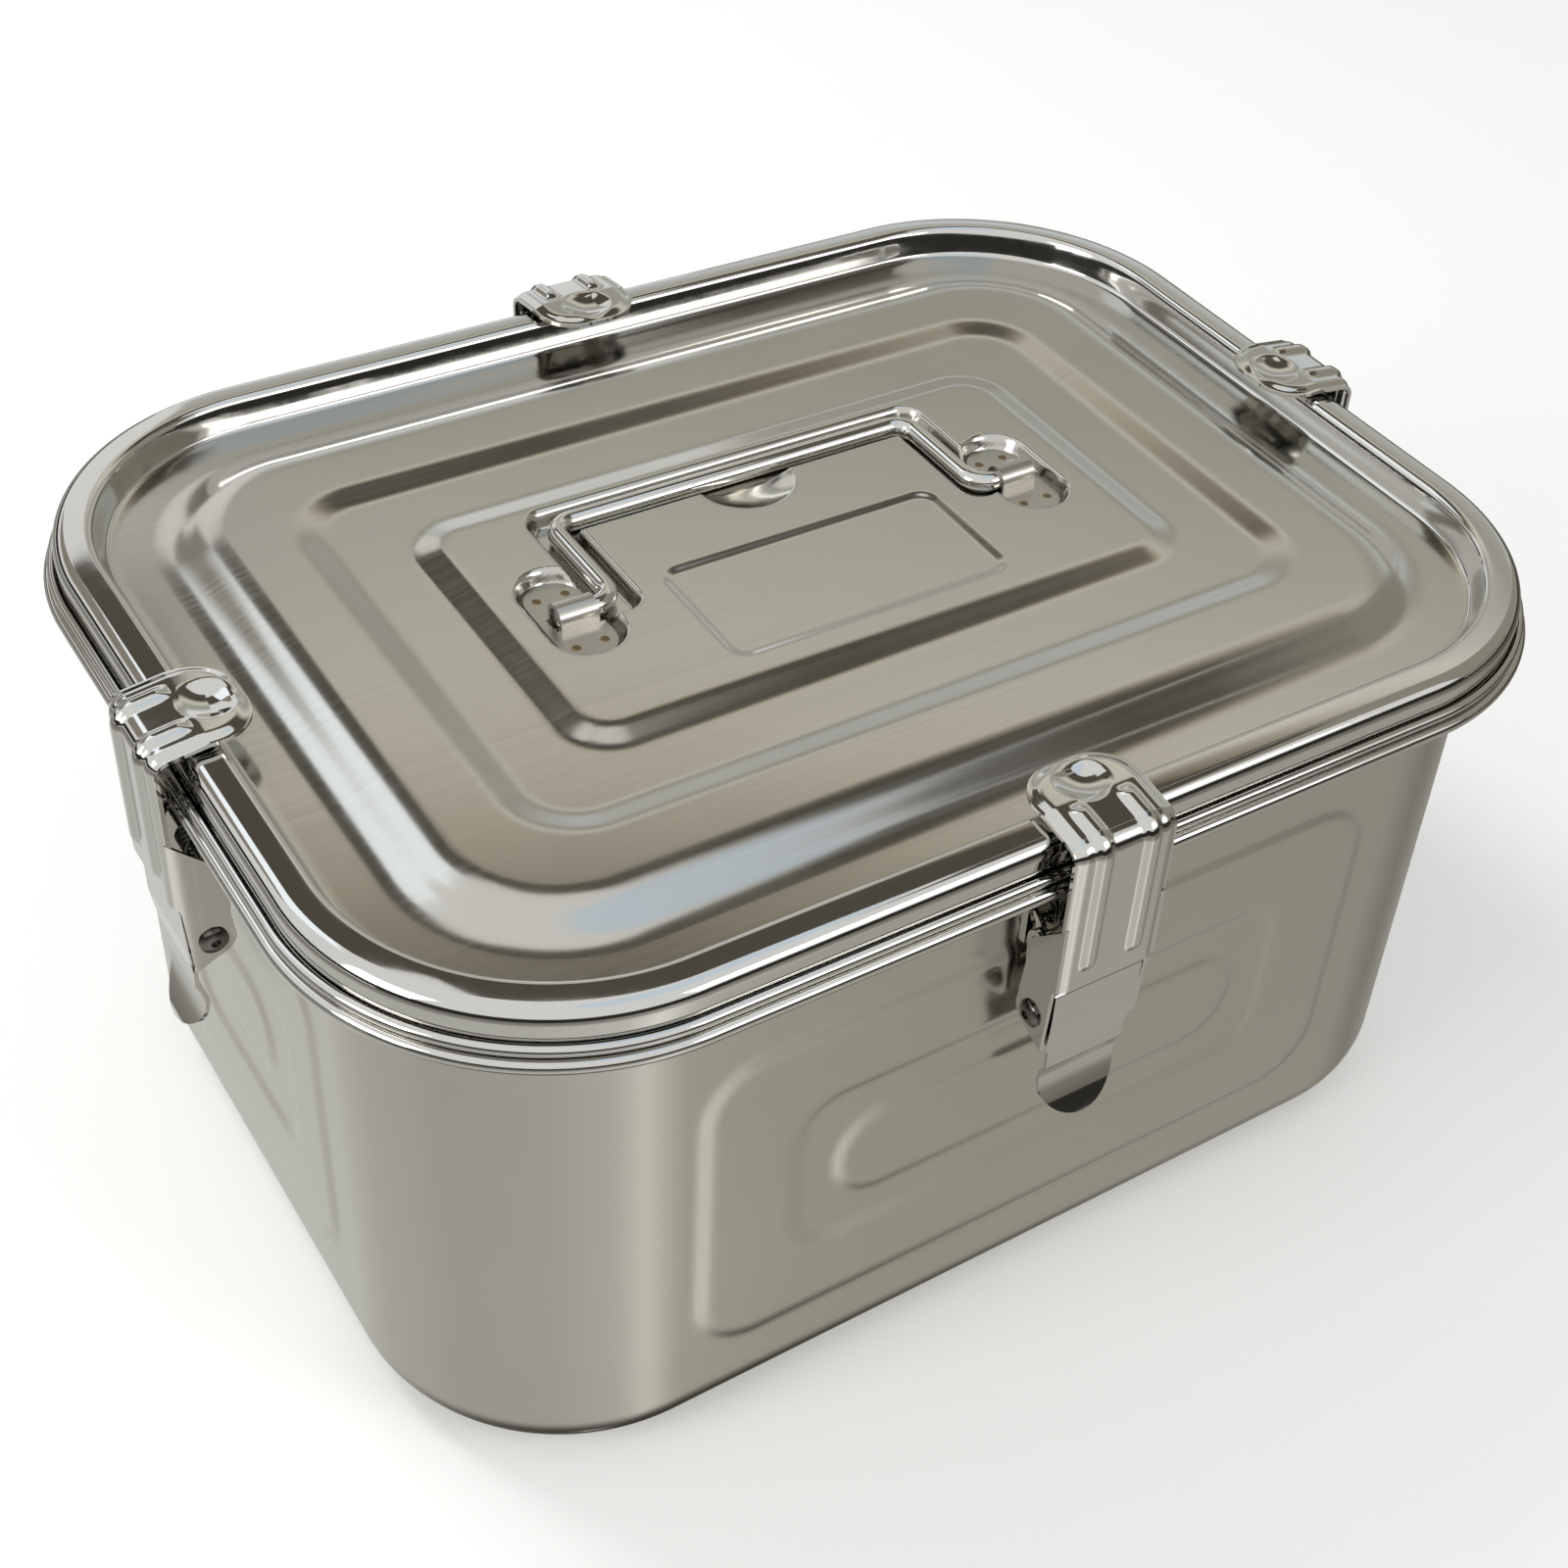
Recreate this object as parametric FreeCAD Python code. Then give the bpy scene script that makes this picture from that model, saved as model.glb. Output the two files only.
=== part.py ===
import FreeCAD, Part
import math
import os
from FreeCAD import Vector

# Stainless steel food box with a lift-off lid, a folding bail handle sunk in the lid and four over-centre latches.
# Millimetres. X runs along the long side, Y from the front to the back, Z up. The origin is the middle of the base.
# Profiles are drawn as u and z: u is the distance outward from the outer edge of the box's rolled rim.

# Box
RIM_LENGTH = 320.0
RIM_WIDTH = 246.0
RIM_CORNER = 65.0
RIM_TOP = 146.6
RIM_CURL = 1.7
RIM_FLARE = 3.4
WALL_INSET = 11.4
BASE_FILLET = 15.0
BOX_SHEET = 0.8
FLOOR_OVERLAP = 6.0

# Pressed panels in the walls: raised, sunk back and raised again, all about one height
PANEL_HEIGHT = 0.7
PANEL_SLOPE = 3.6
PANEL_MIDDLE = 73.5
PANEL_HALF_HEIGHTS = (45.5, 24.0, 13.0)
PANEL_CORNERS = (15.0, 12.0, 12.5)
LONG_PANEL_HALF_LENGTHS = (90.0, 67.0, 56.0)
SHORT_PANEL_HALF_LENGTHS = (48.0, 30.0, 19.0)
PANEL_ROOT = 0.3

# Lid
LID_SHEET = 0.8
LID_GAP = 0.3
LID_CURL = 1.4
LID_CURL_INSET = 1.2
LID_HEIGHT = 11.1
RING_WIDTH = 8.7
RING_FALL = 0.7
SHOULDER = 3.8
RING_INNER_EDGE = 2.0
RECESS_DEPTH = 7.7
RECESS_DRAFT = 2.4
RECESS_FILLET = 1.5
CHANNEL_WIDTH = 14.4
PLATEAU_RISE = 4.0
PLATEAU_SLOPE = 9.0
PLATEAU_BEND = 8.0
PLATEAU_LAND = 7.0
STEP_DEPTH = 1.5
SUNK_INSET = 53.75
SUNK_CORNER = 18.0
CENTRE_INSET = 75.25
CENTRE_CORNER = 13.0
STEP_SLOPE = 8.5
STEP_CORNER_LOSS = 6.0
NAMEPLATE_LENGTH = 76.0
NAMEPLATE_WIDTH = 37.0
NAMEPLATE_Y = -15.0
NAMEPLATE_CORNER = 5.0
NAMEPLATE_DEPTH = 0.6
NAMEPLATE_SLOPE = 1.5

# Seal
SEAL_SIDE_GAP = 0.5
SEAL_TOP_GAP = 0.4
SEAL_WIDTH = 6.4
SEAL_LIP = 1.6
SEAL_SHOULDER = 3.2

# Handle and its brackets
ROD = 5.0
HANDLE_LENGTH = 101.0
HANDLE_REACH = 32.5
HANDLE_BEND = 5.5
NEST_DEPTH = 4.0
NEST_SIDE_GAP = 2.0
NEST_FRONT = 5.0
ROD_FLOOR_GAP = 0.3
BRACKET_LEG_GAP = 11.5
STADIUM_ROUNDING = 0.98
BRACKET_WIDTH = 14.0
BRACKET_LENGTH = 30.0
BRACKET_SHEET = 1.0
BRACKET_POCKET_GAP = 1.0
BARREL_BEND_GAP = 0.4
BEND_SLOT_GAP = 0.8
ROD_END_INSET = 0.5
BARREL_OUTSET = 4.0
SCOOP_RADIUS = 13.0

# Latches
LATCH_SHEET = 1.0
LATCH_WIDTH = 26.6
LATCH_SIDE_GAP = 0.5
HOOK_FACE = 4.0
HOOK_BOTTOM = 118.0
HOOK_TOP_GAP = 2.05
HOOK_FOLD = 3.5
LIP_REACH = 21.5
LIP_CORNER = 10.0
DISH_RADIUS = 6.8
DISH_DEPTH = 1.6
DISH_U = -13.8
RIB_X = 6.2
RIB_WIDTH = 4.4
RIB_HEIGHT = 1.1
RIB_ROOT = 0.3
RIB_EDGE = 0.55
RIB_BOTTOM = 124.0
RIB_LIP_END = -6.5
EAR_TOP = 137.0
EAR_LUG = 5.2
EAR_TAPER_DROP = 0.85
EAR_TOE_DROP = 8.06
HOOK_PIVOT_U = -3.6
HOOK_PIVOT_Z = 106.5
GRIP_POINT_U = -12.5
GRIP_POINT_Z = 158.2
LEVER_THROW = 18.0
LEVER_FACE = 2.2
LEVER_TOP = 130.5
LEVER_KNEE = 104.0
LEVER_BEND = 95.7
LEVER_TAB_END = 75.0
LEVER_BEND_SETBACK = 1.0
LEVER_TAB_FLARE = 2.5
LEVER_KNEE_RADIUS = 30.0
LEVER_TAB_RADIUS = 14.0
LEVER_TAB_WIDTH = 21.0
LEVER_LUG = 4.4
LUG_TAPER_DROP = 0.8
PIN = 3.5
PIN_CLEARANCE = 0.06
RIVET_HEAD = 6.6
RIVET_HEAD_HEIGHT = 1.3
RIVET_HEAD_EDGE = 0.43
RIVET_SWELL = 1.1
RIVET_HOLE = 2.2
RIVET_HOLE_DEPTH = 0.9
RIVET_AIR = 0.1
BASE_EAR_SHEET = 1.2
BASE_WIDTH = 24.0
BASE_BOTTOM = 121.3
BASE_TOP = 133.5
BASE_LUG = 3.2

# Torsion spring round the fixed pin of each latch
SPRING_WIRE = 1.0
SPRING_PITCH = 1.55
SPRING_TURNS = 4
SPRING_WALL_GAP = 0.1
SPRING_REST_LEG = 7.0
SPRING_LEVER_GAP = 0.3
SPRING_LEG_ANGLE = 233.13
ARCS_PER_TURN = 4

# Derived places
HALF_LENGTH = RIM_LENGTH / 2
HALF_WIDTH = RIM_WIDTH / 2
LID_TOP = RIM_TOP + LID_HEIGHT
RING_INNER_U = -(LID_CURL_INSET + 2 * LID_CURL - LID_SHEET + RING_WIDTH)
CHANNEL_Z = LID_TOP - RECESS_DEPTH
PLATEAU_Z = CHANNEL_Z + PLATEAU_RISE
CHANNEL_OUTER_U = RING_INNER_U - RECESS_DRAFT
SLOPE_OUTER_U = CHANNEL_OUTER_U - CHANNEL_WIDTH
SLOPE_INNER_U = SLOPE_OUTER_U - PLATEAU_SLOPE
LAND_U = SLOPE_INNER_U - PLATEAU_LAND
NEST_Z = PLATEAU_Z - NEST_DEPTH
ROD_Z = NEST_Z + ROD_FLOOR_GAP + ROD / 2
BRACKET_X = HANDLE_LENGTH / 2 + BRACKET_LEG_GAP
LIP_TOP = LID_TOP + HOOK_TOP_GAP + LATCH_SHEET
LEVER_HALF_WIDTH = LATCH_WIDTH / 2 - LATCH_SHEET - LATCH_SIDE_GAP
BASE_HALF_WIDTH = LEVER_HALF_WIDTH - LATCH_SHEET - LATCH_SIDE_GAP
GRIP_DISTANCE = math.hypot(GRIP_POINT_U - HOOK_PIVOT_U, GRIP_POINT_Z - HOOK_PIVOT_Z)
BASE_PIVOT_U = HOOK_PIVOT_U + LEVER_THROW * (GRIP_POINT_U - HOOK_PIVOT_U) / GRIP_DISTANCE
BASE_PIVOT_Z = HOOK_PIVOT_Z + LEVER_THROW * (GRIP_POINT_Z - HOOK_PIVOT_Z) / GRIP_DISTANCE
EXTRA = 1.0


def at(u, z):
    """A point of a profile drawn in the XZ plane."""
    return Vector(u, 0, z)


def arc_edges(centre, radius, start, end, pieces=2):
    """An arc in the XZ plane, in degrees, cut into equal pieces."""
    edges = []
    step = (end - start) / pieces
    for k in range(pieces):
        angles = [math.radians(start + step * (k + part)) for part in (0, 0.5, 1)]
        points = [centre + Vector(radius * math.cos(a), 0, radius * math.sin(a)) for a in angles]
        edges.append(Part.Arc(*points).toShape())
    return edges


def rounded_run(points, radii):
    """Straight runs through the points, with a tangent arc of the given radius at each inner point."""
    edges = []
    start = points[0]
    for before, corner, after, radius in zip(points, points[1:], points[2:], radii):
        into = (corner - before).normalize()
        out = (after - corner).normalize()
        turn = into.getAngle(out)
        tangent = radius * math.tan(turn / 2)
        first = corner - into * tangent
        last = corner + out * tangent
        bulge = (out - into).normalize()
        middle = corner + bulge * (radius / math.cos(turn / 2) - radius)
        edges.append(Part.LineSegment(start, first).toShape())
        edges.append(Part.Arc(first, middle, last).toShape())
        start = last
    edges.append(Part.LineSegment(start, points[-1]).toShape())
    return edges


def sheet_face(edges, thickness):
    """The cut face of a bent sheet, from the line through the middle of its thickness."""
    wire = Part.Wire(edges)
    outline = wire.makeOffset2D(thickness / 2, join=0, fill=False, openResult=False)
    return Part.Face(Part.Wire(Part.__sortEdges__(outline.Edges)))


def polygon_face(points):
    """A flat face in the XZ plane, closed through the points."""
    return Part.Face(Part.makePolygon([at(*p) for p in points + points[:1]]))


def carried_round(face):
    """Carry a profile round the rounded rectangle of the rim: four straight runs and four turned corners."""
    half_x = HALF_LENGTH - RIM_CORNER
    half_y = HALF_WIDTH - RIM_CORNER
    spoke = face.copy()
    spoke.translate(Vector(RIM_CORNER, 0, 0))
    pieces = []
    for k, (cx, cy) in enumerate(((1, 1), (-1, 1), (-1, -1), (1, -1))):
        corner = Vector(cx * half_x, cy * half_y, 0)
        bend = spoke.revolve(Vector(), Vector(0, 0, 1), 90)
        bend.rotate(Vector(), Vector(0, 0, 1), 90 * k)
        bend.translate(corner)
        run_length = 2 * (half_x if k % 2 == 0 else half_y)
        run = spoke.extrude(Vector(0, run_length, 0))
        run.rotate(Vector(), Vector(0, 0, 1), 90 * (k + 1))
        run.translate(corner)
        pieces += [bend, run]
    return pieces[0].multiFuse(pieces[1:]).removeSplitter()


def rounded_rectangle(half_x, half_y, radius, z, centre_x=0.0, centre_y=0.0):
    """A closed rounded rectangle at height z."""
    edges = []
    for k, (cx, cy) in enumerate(((1, 1), (-1, 1), (-1, -1), (1, -1))):
        middle = Vector(centre_x + cx * (half_x - radius), centre_y + cy * (half_y - radius), z)
        points = []
        for part in (0, 45, 90):
            angle = math.radians(90 * k + part)
            points.append(middle + Vector(radius * math.cos(angle), radius * math.sin(angle), 0))
        if edges:
            edges.append(Part.LineSegment(edges[-1].Vertexes[-1].Point, points[0]).toShape())
        edges.append(Part.Arc(*points).toShape())
    edges.append(Part.LineSegment(edges[-1].Vertexes[-1].Point, edges[0].Vertexes[0].Point).toShape())
    return Part.Wire(edges)


def prism(half_x, half_y, radius, low, high, centre_x=0.0, centre_y=0.0):
    """A rounded block between two heights."""
    face = Part.Face(rounded_rectangle(half_x, half_y, radius, low, centre_x, centre_y))
    return face.extrude(Vector(0, 0, high - low))


def frustum(half_x, half_y, radius, low, high, slope, corner_loss, centre_y=0.0):
    """A rounded block whose sides lean in by slope from its low face to its high face."""
    low_wire = rounded_rectangle(half_x, half_y, radius, low, 0.0, centre_y)
    high_wire = rounded_rectangle(half_x - slope, half_y - slope, radius - corner_loss, high, 0.0, centre_y)
    return Part.makeLoft([low_wire, high_wire], True, True)


def plate(points, discs, thickness, x_low):
    """A flat plate across X, from a polygon and round lugs given as u, z and radius."""
    shape = polygon_face(points).extrude(Vector(0, thickness, 0))
    for u, z, radius in discs:
        lug = Part.makeCylinder(radius, thickness, at(u, z), Vector(0, 1, 0))
        shape = shape.fuse(lug)
    shape.translate(Vector(0, x_low, 0))
    return shape.removeSplitter()


def both_sides(make, inner, thickness):
    """The same flat plate on both sides of a latch's middle, with its inner face at the given distance."""
    return make(inner).fuse(make(-inner - thickness))


def cross_hole(u, z, radius):
    """A hole right across a latch."""
    return Part.makeCylinder(radius, 2 * LATCH_WIDTH, Vector(u, -LATCH_WIDTH, z), Vector(0, 1, 0))


def wall_panel(half_lengths):
    """The pressed panel of one wall, lying on the XY plane with its face upward."""
    loss = min(PANEL_SLOPE, min(PANEL_CORNERS) / 2)
    per_height = PANEL_SLOPE / PANEL_HEIGHT
    root = PANEL_ROOT * per_height
    sizes = list(zip(half_lengths, PANEL_HALF_HEIGHTS, PANEL_CORNERS))

    def raised(half_x, half_y, radius):
        grow = PANEL_SLOPE / 2 + root
        full = PANEL_SLOPE + root
        return frustum(half_x + grow, half_y + grow, radius + root, -PANEL_ROOT, PANEL_HEIGHT, full, loss + root)

    outer, sunk, middle = sizes
    grow = PANEL_SLOPE / 2
    sunk_low = rounded_rectangle(sunk[0] - grow, sunk[1] - grow, sunk[2] - loss, 0.0)
    lift = EXTRA / 4
    spread = grow + lift * per_height
    sunk_high = rounded_rectangle(sunk[0] + spread, sunk[1] + spread, sunk[2], PANEL_HEIGHT + lift)
    shape = raised(*outer).cut(Part.makeLoft([sunk_low, sunk_high], True, True))
    return shape.fuse(raised(*middle))


def box_body():
    """The drawn box: floor, walls with pressed panels, flared flange and rolled rim."""
    half = BOX_SHEET / 2
    wall = -WALL_INSET - half
    flange = RIM_TOP - half
    start = wall - BASE_FILLET - FLOOR_OVERLAP
    curl = RIM_CURL - half
    edges = rounded_run(
        [at(start, half), at(wall, half), at(wall, flange), at(-RIM_CURL, flange)],
        [BASE_FILLET - half, RIM_FLARE],
    )
    edges += arc_edges(at(-RIM_CURL, RIM_TOP - RIM_CURL), curl, 90, -180)
    shell = carried_round(sheet_face(edges, BOX_SHEET))
    inset = -start - FLOOR_OVERLAP / 2
    floor = prism(HALF_LENGTH - inset, HALF_WIDTH - inset, RIM_CORNER - inset, 0, BOX_SHEET)
    shell = shell.fuse(floor).removeSplitter()
    outward = 0
    for half_lengths, distance in ((LONG_PANEL_HALF_LENGTHS, HALF_WIDTH), (SHORT_PANEL_HALF_LENGTHS, HALF_LENGTH)) * 2:
        panel = wall_panel(half_lengths)
        panel.rotate(Vector(), Vector(1, 0, 0), 90)
        face = -(distance - WALL_INSET)
        panel.translate(Vector(0, face, PANEL_MIDDLE))
        hollow = panel.translated(Vector(0, BOX_SHEET, 0))
        for piece in (panel, hollow):
            piece.rotate(Vector(), Vector(0, 0, 1), outward)
        shell = shell.fuse(panel).cut(hollow)
        outward += 90
    return shell.removeSplitter()


def nest(grow, low, high):
    """The pressed bed of the handle: two bracket pockets, two leg grooves and the grip groove."""
    groove = ROD / 2 + NEST_SIDE_GAP + grow
    leg_x = HANDLE_LENGTH / 2
    back = HANDLE_REACH + ROD / 2 + NEST_SIDE_GAP
    leg_half = (back + NEST_FRONT) / 2 + grow
    leg_y = (back - NEST_FRONT) / 2
    pocket_x = BRACKET_WIDTH / 2 + BRACKET_POCKET_GAP + grow
    pocket_y = BRACKET_LENGTH / 2 + BRACKET_POCKET_GAP + grow
    pieces = [prism(leg_x + groove, groove, groove * STADIUM_ROUNDING, low, high, 0.0, HANDLE_REACH)]
    for side in (-1, 1):
        pieces.append(prism(groove, leg_half, groove * STADIUM_ROUNDING, low, high, side * leg_x, leg_y))
        pieces.append(prism(pocket_x, pocket_y, pocket_x * STADIUM_ROUNDING, low, high, side * BRACKET_X, 0.0))
    return pieces[0].multiFuse(pieces[1:]).removeSplitter()


def lid_shell():
    """The pressed lid: rolled skirt, crowned ring, channel, plateau, sunk band, centre panel and handle bed."""
    half = LID_SHEET / 2
    curl_u = -LID_CURL_INSET - LID_CURL
    curl_z = RIM_TOP + LID_GAP + LID_CURL
    skirt = curl_u - LID_CURL + half
    edges = arc_edges(at(curl_u, curl_z), LID_CURL - half, 90, -180)
    points = [
        at(skirt, curl_z),
        at(skirt, LID_TOP - RING_FALL - half),
        at(RING_INNER_U, LID_TOP - half),
        at(CHANNEL_OUTER_U, CHANNEL_Z - half),
        at(SLOPE_OUTER_U, CHANNEL_Z - half),
        at(SLOPE_INNER_U, PLATEAU_Z - half),
        at(LAND_U, PLATEAU_Z - half),
    ]
    edges += rounded_run(
        points,
        [SHOULDER - half, RING_INNER_EDGE - half, RECESS_FILLET + half, PLATEAU_BEND + half, PLATEAU_BEND - half],
    )
    shell = carried_round(sheet_face(edges, LID_SHEET))

    inset = -LAND_U - PLATEAU_LAND / 4
    sunk_z = PLATEAU_Z - STEP_DEPTH
    under = 2 * STEP_DEPTH + LID_SHEET
    top = prism(HALF_LENGTH - inset, HALF_WIDTH - inset, RIM_CORNER - inset, PLATEAU_Z - under, PLATEAU_Z)
    sunk_low = rounded_rectangle(
        HALF_LENGTH - SUNK_INSET - STEP_SLOPE,
        HALF_WIDTH - SUNK_INSET - STEP_SLOPE,
        SUNK_CORNER - STEP_CORNER_LOSS,
        sunk_z,
    )
    sunk_high = rounded_rectangle(HALF_LENGTH - SUNK_INSET, HALF_WIDTH - SUNK_INSET, SUNK_CORNER, PLATEAU_Z)
    top = top.cut(Part.makeLoft([sunk_low, sunk_high], True, True))
    centre = frustum(
        HALF_LENGTH - CENTRE_INSET,
        HALF_WIDTH - CENTRE_INSET,
        CENTRE_CORNER,
        sunk_z,
        PLATEAU_Z,
        STEP_SLOPE,
        STEP_CORNER_LOSS,
    )
    top = top.fuse(centre)
    plate_low = rounded_rectangle(
        NAMEPLATE_LENGTH / 2 - NAMEPLATE_SLOPE,
        NAMEPLATE_WIDTH / 2 - NAMEPLATE_SLOPE,
        NAMEPLATE_CORNER - NAMEPLATE_SLOPE,
        PLATEAU_Z - NAMEPLATE_DEPTH,
        0.0,
        NAMEPLATE_Y,
    )
    plate_high = rounded_rectangle(
        NAMEPLATE_LENGTH / 2, NAMEPLATE_WIDTH / 2, NAMEPLATE_CORNER, PLATEAU_Z, 0.0, NAMEPLATE_Y
    )
    top = top.cut(Part.makeLoft([plate_low, plate_high], True, True))
    shell = shell.fuse(top.cut(top.translated(Vector(0, 0, -LID_SHEET))))

    scoop_y = HANDLE_REACH - ROD / 2 - NEST_SIDE_GAP
    ball = (SCOOP_RADIUS**2 + NEST_DEPTH**2) / (2 * NEST_DEPTH)
    ball_centre = Vector(0, scoop_y, NEST_Z + ball)
    slab = Part.makeBox(RIM_LENGTH, RIM_WIDTH, NEST_DEPTH + EXTRA)
    slab.translate(Vector(-HALF_LENGTH, -HALF_WIDTH, PLATEAU_Z - NEST_DEPTH - EXTRA))
    pan = nest(LID_SHEET, NEST_Z - LID_SHEET, PLATEAU_Z)
    pan = pan.fuse(Part.makeSphere(ball + LID_SHEET, ball_centre).common(slab))
    hollow = nest(0.0, NEST_Z, PLATEAU_Z + EXTRA).fuse(Part.makeSphere(ball, ball_centre))
    return shell.fuse(pan).cut(hollow).removeSplitter()


def lid_gasket():
    """The silicone seal in the lid's ring, with a rounded lip over the rim."""
    skirt_inner = -LID_CURL_INSET - 2 * LID_CURL
    outer = skirt_inner - SEAL_SIDE_GAP
    inner = outer - SEAL_WIDTH
    low = RIM_TOP + LID_GAP
    high = LID_TOP - RING_FALL - LID_SHEET - SEAL_TOP_GAP
    lip_z = low + SEAL_LIP
    middle = (outer + inner) / 2
    corners = [at(outer, lip_z), at(outer, high), at(inner, high), at(inner, lip_z)]
    edges = rounded_run(corners, [SEAL_SHOULDER, SEAL_TOP_GAP])
    edges.append(Part.Arc(corners[-1], at(middle, low), corners[0]).toShape())
    return carried_round(Part.Face(Part.Wire(edges)))


def carry_handle():
    """The bent rod: grip, two legs and two ends turned outward into the brackets."""
    end = BRACKET_X + BARREL_OUTSET - ROD_END_INSET
    leg = HANDLE_LENGTH / 2
    points = [
        Vector(-end, 0, ROD_Z),
        Vector(-leg, 0, ROD_Z),
        Vector(-leg, HANDLE_REACH, ROD_Z),
        Vector(leg, HANDLE_REACH, ROD_Z),
        Vector(leg, 0, ROD_Z),
        Vector(end, 0, ROD_Z),
    ]
    path = Part.Wire(rounded_run(points, [HANDLE_BEND] * 4))
    section = Part.Wire(Part.Circle(points[0], Vector(1, 0, 0), ROD / 2).toShape())
    return path.makePipeShell([section], True, False)


def handle_bracket(side):
    """A stadium plate with a pressed barrel that holds one end of the rod."""
    half_x = BRACKET_WIDTH / 2
    shape = prism(half_x, BRACKET_LENGTH / 2, half_x * STADIUM_ROUNDING, NEST_Z, NEST_Z + BRACKET_SHEET)
    bore = ROD / 2 + PIN_CLEARANCE
    outer = bore + BRACKET_SHEET
    start = -BARREL_OUTSET
    stop = BRACKET_LEG_GAP - HANDLE_BEND - BARREL_BEND_GAP
    length = stop - start

    def hump(radius, low, x_low, length):
        tube = Part.makeCylinder(radius, length, Vector(x_low, 0, ROD_Z), Vector(1, 0, 0))
        skirt = Part.makeBox(length, 2 * radius, ROD_Z - low, Vector(x_low, -radius, low))
        return tube.fuse(skirt).common(Part.makeBox(length, 2 * radius, 2 * ROD, Vector(x_low, -radius, low)))

    shape = shape.fuse(hump(outer, NEST_Z, start, length))
    shape = shape.cut(hump(bore, NEST_Z - EXTRA, start - EXTRA, length + 2 * EXTRA))
    slot = bore + BEND_SLOT_GAP
    shape = shape.cut(Part.makeBox(half_x, 2 * slot, 2 * ROD, Vector(stop, -slot, NEST_Z - EXTRA)))
    if side > 0:
        shape.rotate(Vector(), Vector(0, 0, 1), 180)
    shape.translate(Vector(side * BRACKET_X, 0, 0))
    return shape.removeSplitter()


def latch_base():
    """The bracket on the wall: a plate with two ears for the fixed pin."""
    wall = -WALL_INSET
    back = Part.makeBox(LATCH_SHEET, BASE_WIDTH, BASE_TOP - BASE_BOTTOM, Vector(wall, -BASE_WIDTH / 2, BASE_BOTTOM))
    points = [
        (wall, BASE_TOP - BASE_LUG),
        (wall, BASE_BOTTOM),
        (wall + LATCH_SHEET, BASE_BOTTOM),
        (BASE_PIVOT_U, BASE_PIVOT_Z - BASE_LUG),
        (BASE_PIVOT_U, BASE_PIVOT_Z + BASE_LUG),
        (wall + LATCH_SHEET, BASE_TOP - BASE_LUG),
    ]
    lugs = [(BASE_PIVOT_U, BASE_PIVOT_Z, BASE_LUG)]
    inner = BASE_HALF_WIDTH - BASE_EAR_SHEET
    ears = both_sides(lambda x: plate(points, lugs, BASE_EAR_SHEET, x), inner, BASE_EAR_SHEET)
    shape = back.fuse(ears).cut(cross_hole(BASE_PIVOT_U, BASE_PIVOT_Z, PIN / 2))
    return shape.removeSplitter()


def latch_base_pin():
    """The plain pin that carries the lever."""
    half = LEVER_HALF_WIDTH
    return Part.makeCylinder(PIN / 2, 2 * half, Vector(BASE_PIVOT_U, -half, BASE_PIVOT_Z), Vector(0, 1, 0))


def latch_lever():
    """The channel-shaped lever with its flared thumb tab."""
    half = LATCH_SHEET / 2
    face = LEVER_FACE - half
    bend = face - LEVER_BEND_SETBACK
    tip = bend + LEVER_TAB_FLARE
    edges = rounded_run(
        [at(face, LEVER_TOP), at(face, LEVER_KNEE), at(bend, LEVER_BEND), at(tip, LEVER_TAB_END)],
        [LEVER_KNEE_RADIUS, LEVER_TAB_RADIUS],
    )
    width = 2 * LEVER_HALF_WIDTH
    sheet = sheet_face(edges, LATCH_SHEET).extrude(Vector(0, width, 0))
    sheet.translate(Vector(0, -width / 2, 0))
    tab = LEVER_TAB_WIDTH / 2
    shoulder = LEVER_BEND + (LEVER_KNEE - LEVER_BEND) / 2
    low = LEVER_TAB_END + tab
    wide = width / 2
    top = LEVER_TOP + EXTRA
    outline = [
        Vector(0, -tab, low),
        Vector(0, -tab, LEVER_BEND),
        Vector(0, -wide, shoulder),
        Vector(0, -wide, top),
        Vector(0, wide, top),
        Vector(0, wide, shoulder),
        Vector(0, tab, LEVER_BEND),
        Vector(0, tab, low),
    ]
    edges = [Part.LineSegment(a, b).toShape() for a, b in zip(outline, outline[1:])]
    edges.append(Part.Arc(outline[-1], Vector(0, 0, LEVER_TAB_END), outline[0]).toShape())
    reach = 4 * LEVER_TAB_FLARE
    blank = Part.Face(Part.Wire(edges)).extrude(Vector(2 * reach, 0, 0))
    blank.translate(Vector(face - reach, 0, 0))
    sheet = sheet.common(blank)
    lug = LEVER_LUG
    points = [
        (face, LEVER_TOP),
        (BASE_PIVOT_U + BASE_LUG / 4, BASE_PIVOT_Z + BASE_LUG),
        (BASE_PIVOT_U - BASE_LUG, BASE_PIVOT_Z),
        (HOOK_PIVOT_U - lug, HOOK_PIVOT_Z),
        (HOOK_PIVOT_U - lug / 2, HOOK_PIVOT_Z - lug * LUG_TAPER_DROP),
        (bend, shoulder),
        (face, LEVER_KNEE),
    ]
    lugs = [(BASE_PIVOT_U, BASE_PIVOT_Z, BASE_LUG), (HOOK_PIVOT_U, HOOK_PIVOT_Z, lug)]
    inner = LEVER_HALF_WIDTH - LATCH_SHEET
    flanges = both_sides(lambda x: plate(points, lugs, LATCH_SHEET, x), inner, LATCH_SHEET)
    shape = sheet.fuse(flanges)
    for u, z in ((BASE_PIVOT_U, BASE_PIVOT_Z), (HOOK_PIVOT_U, HOOK_PIVOT_Z)):
        shape = shape.cut(cross_hole(u, z, PIN / 2 + PIN_CLEARANCE))
    return shape.removeSplitter()


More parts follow.
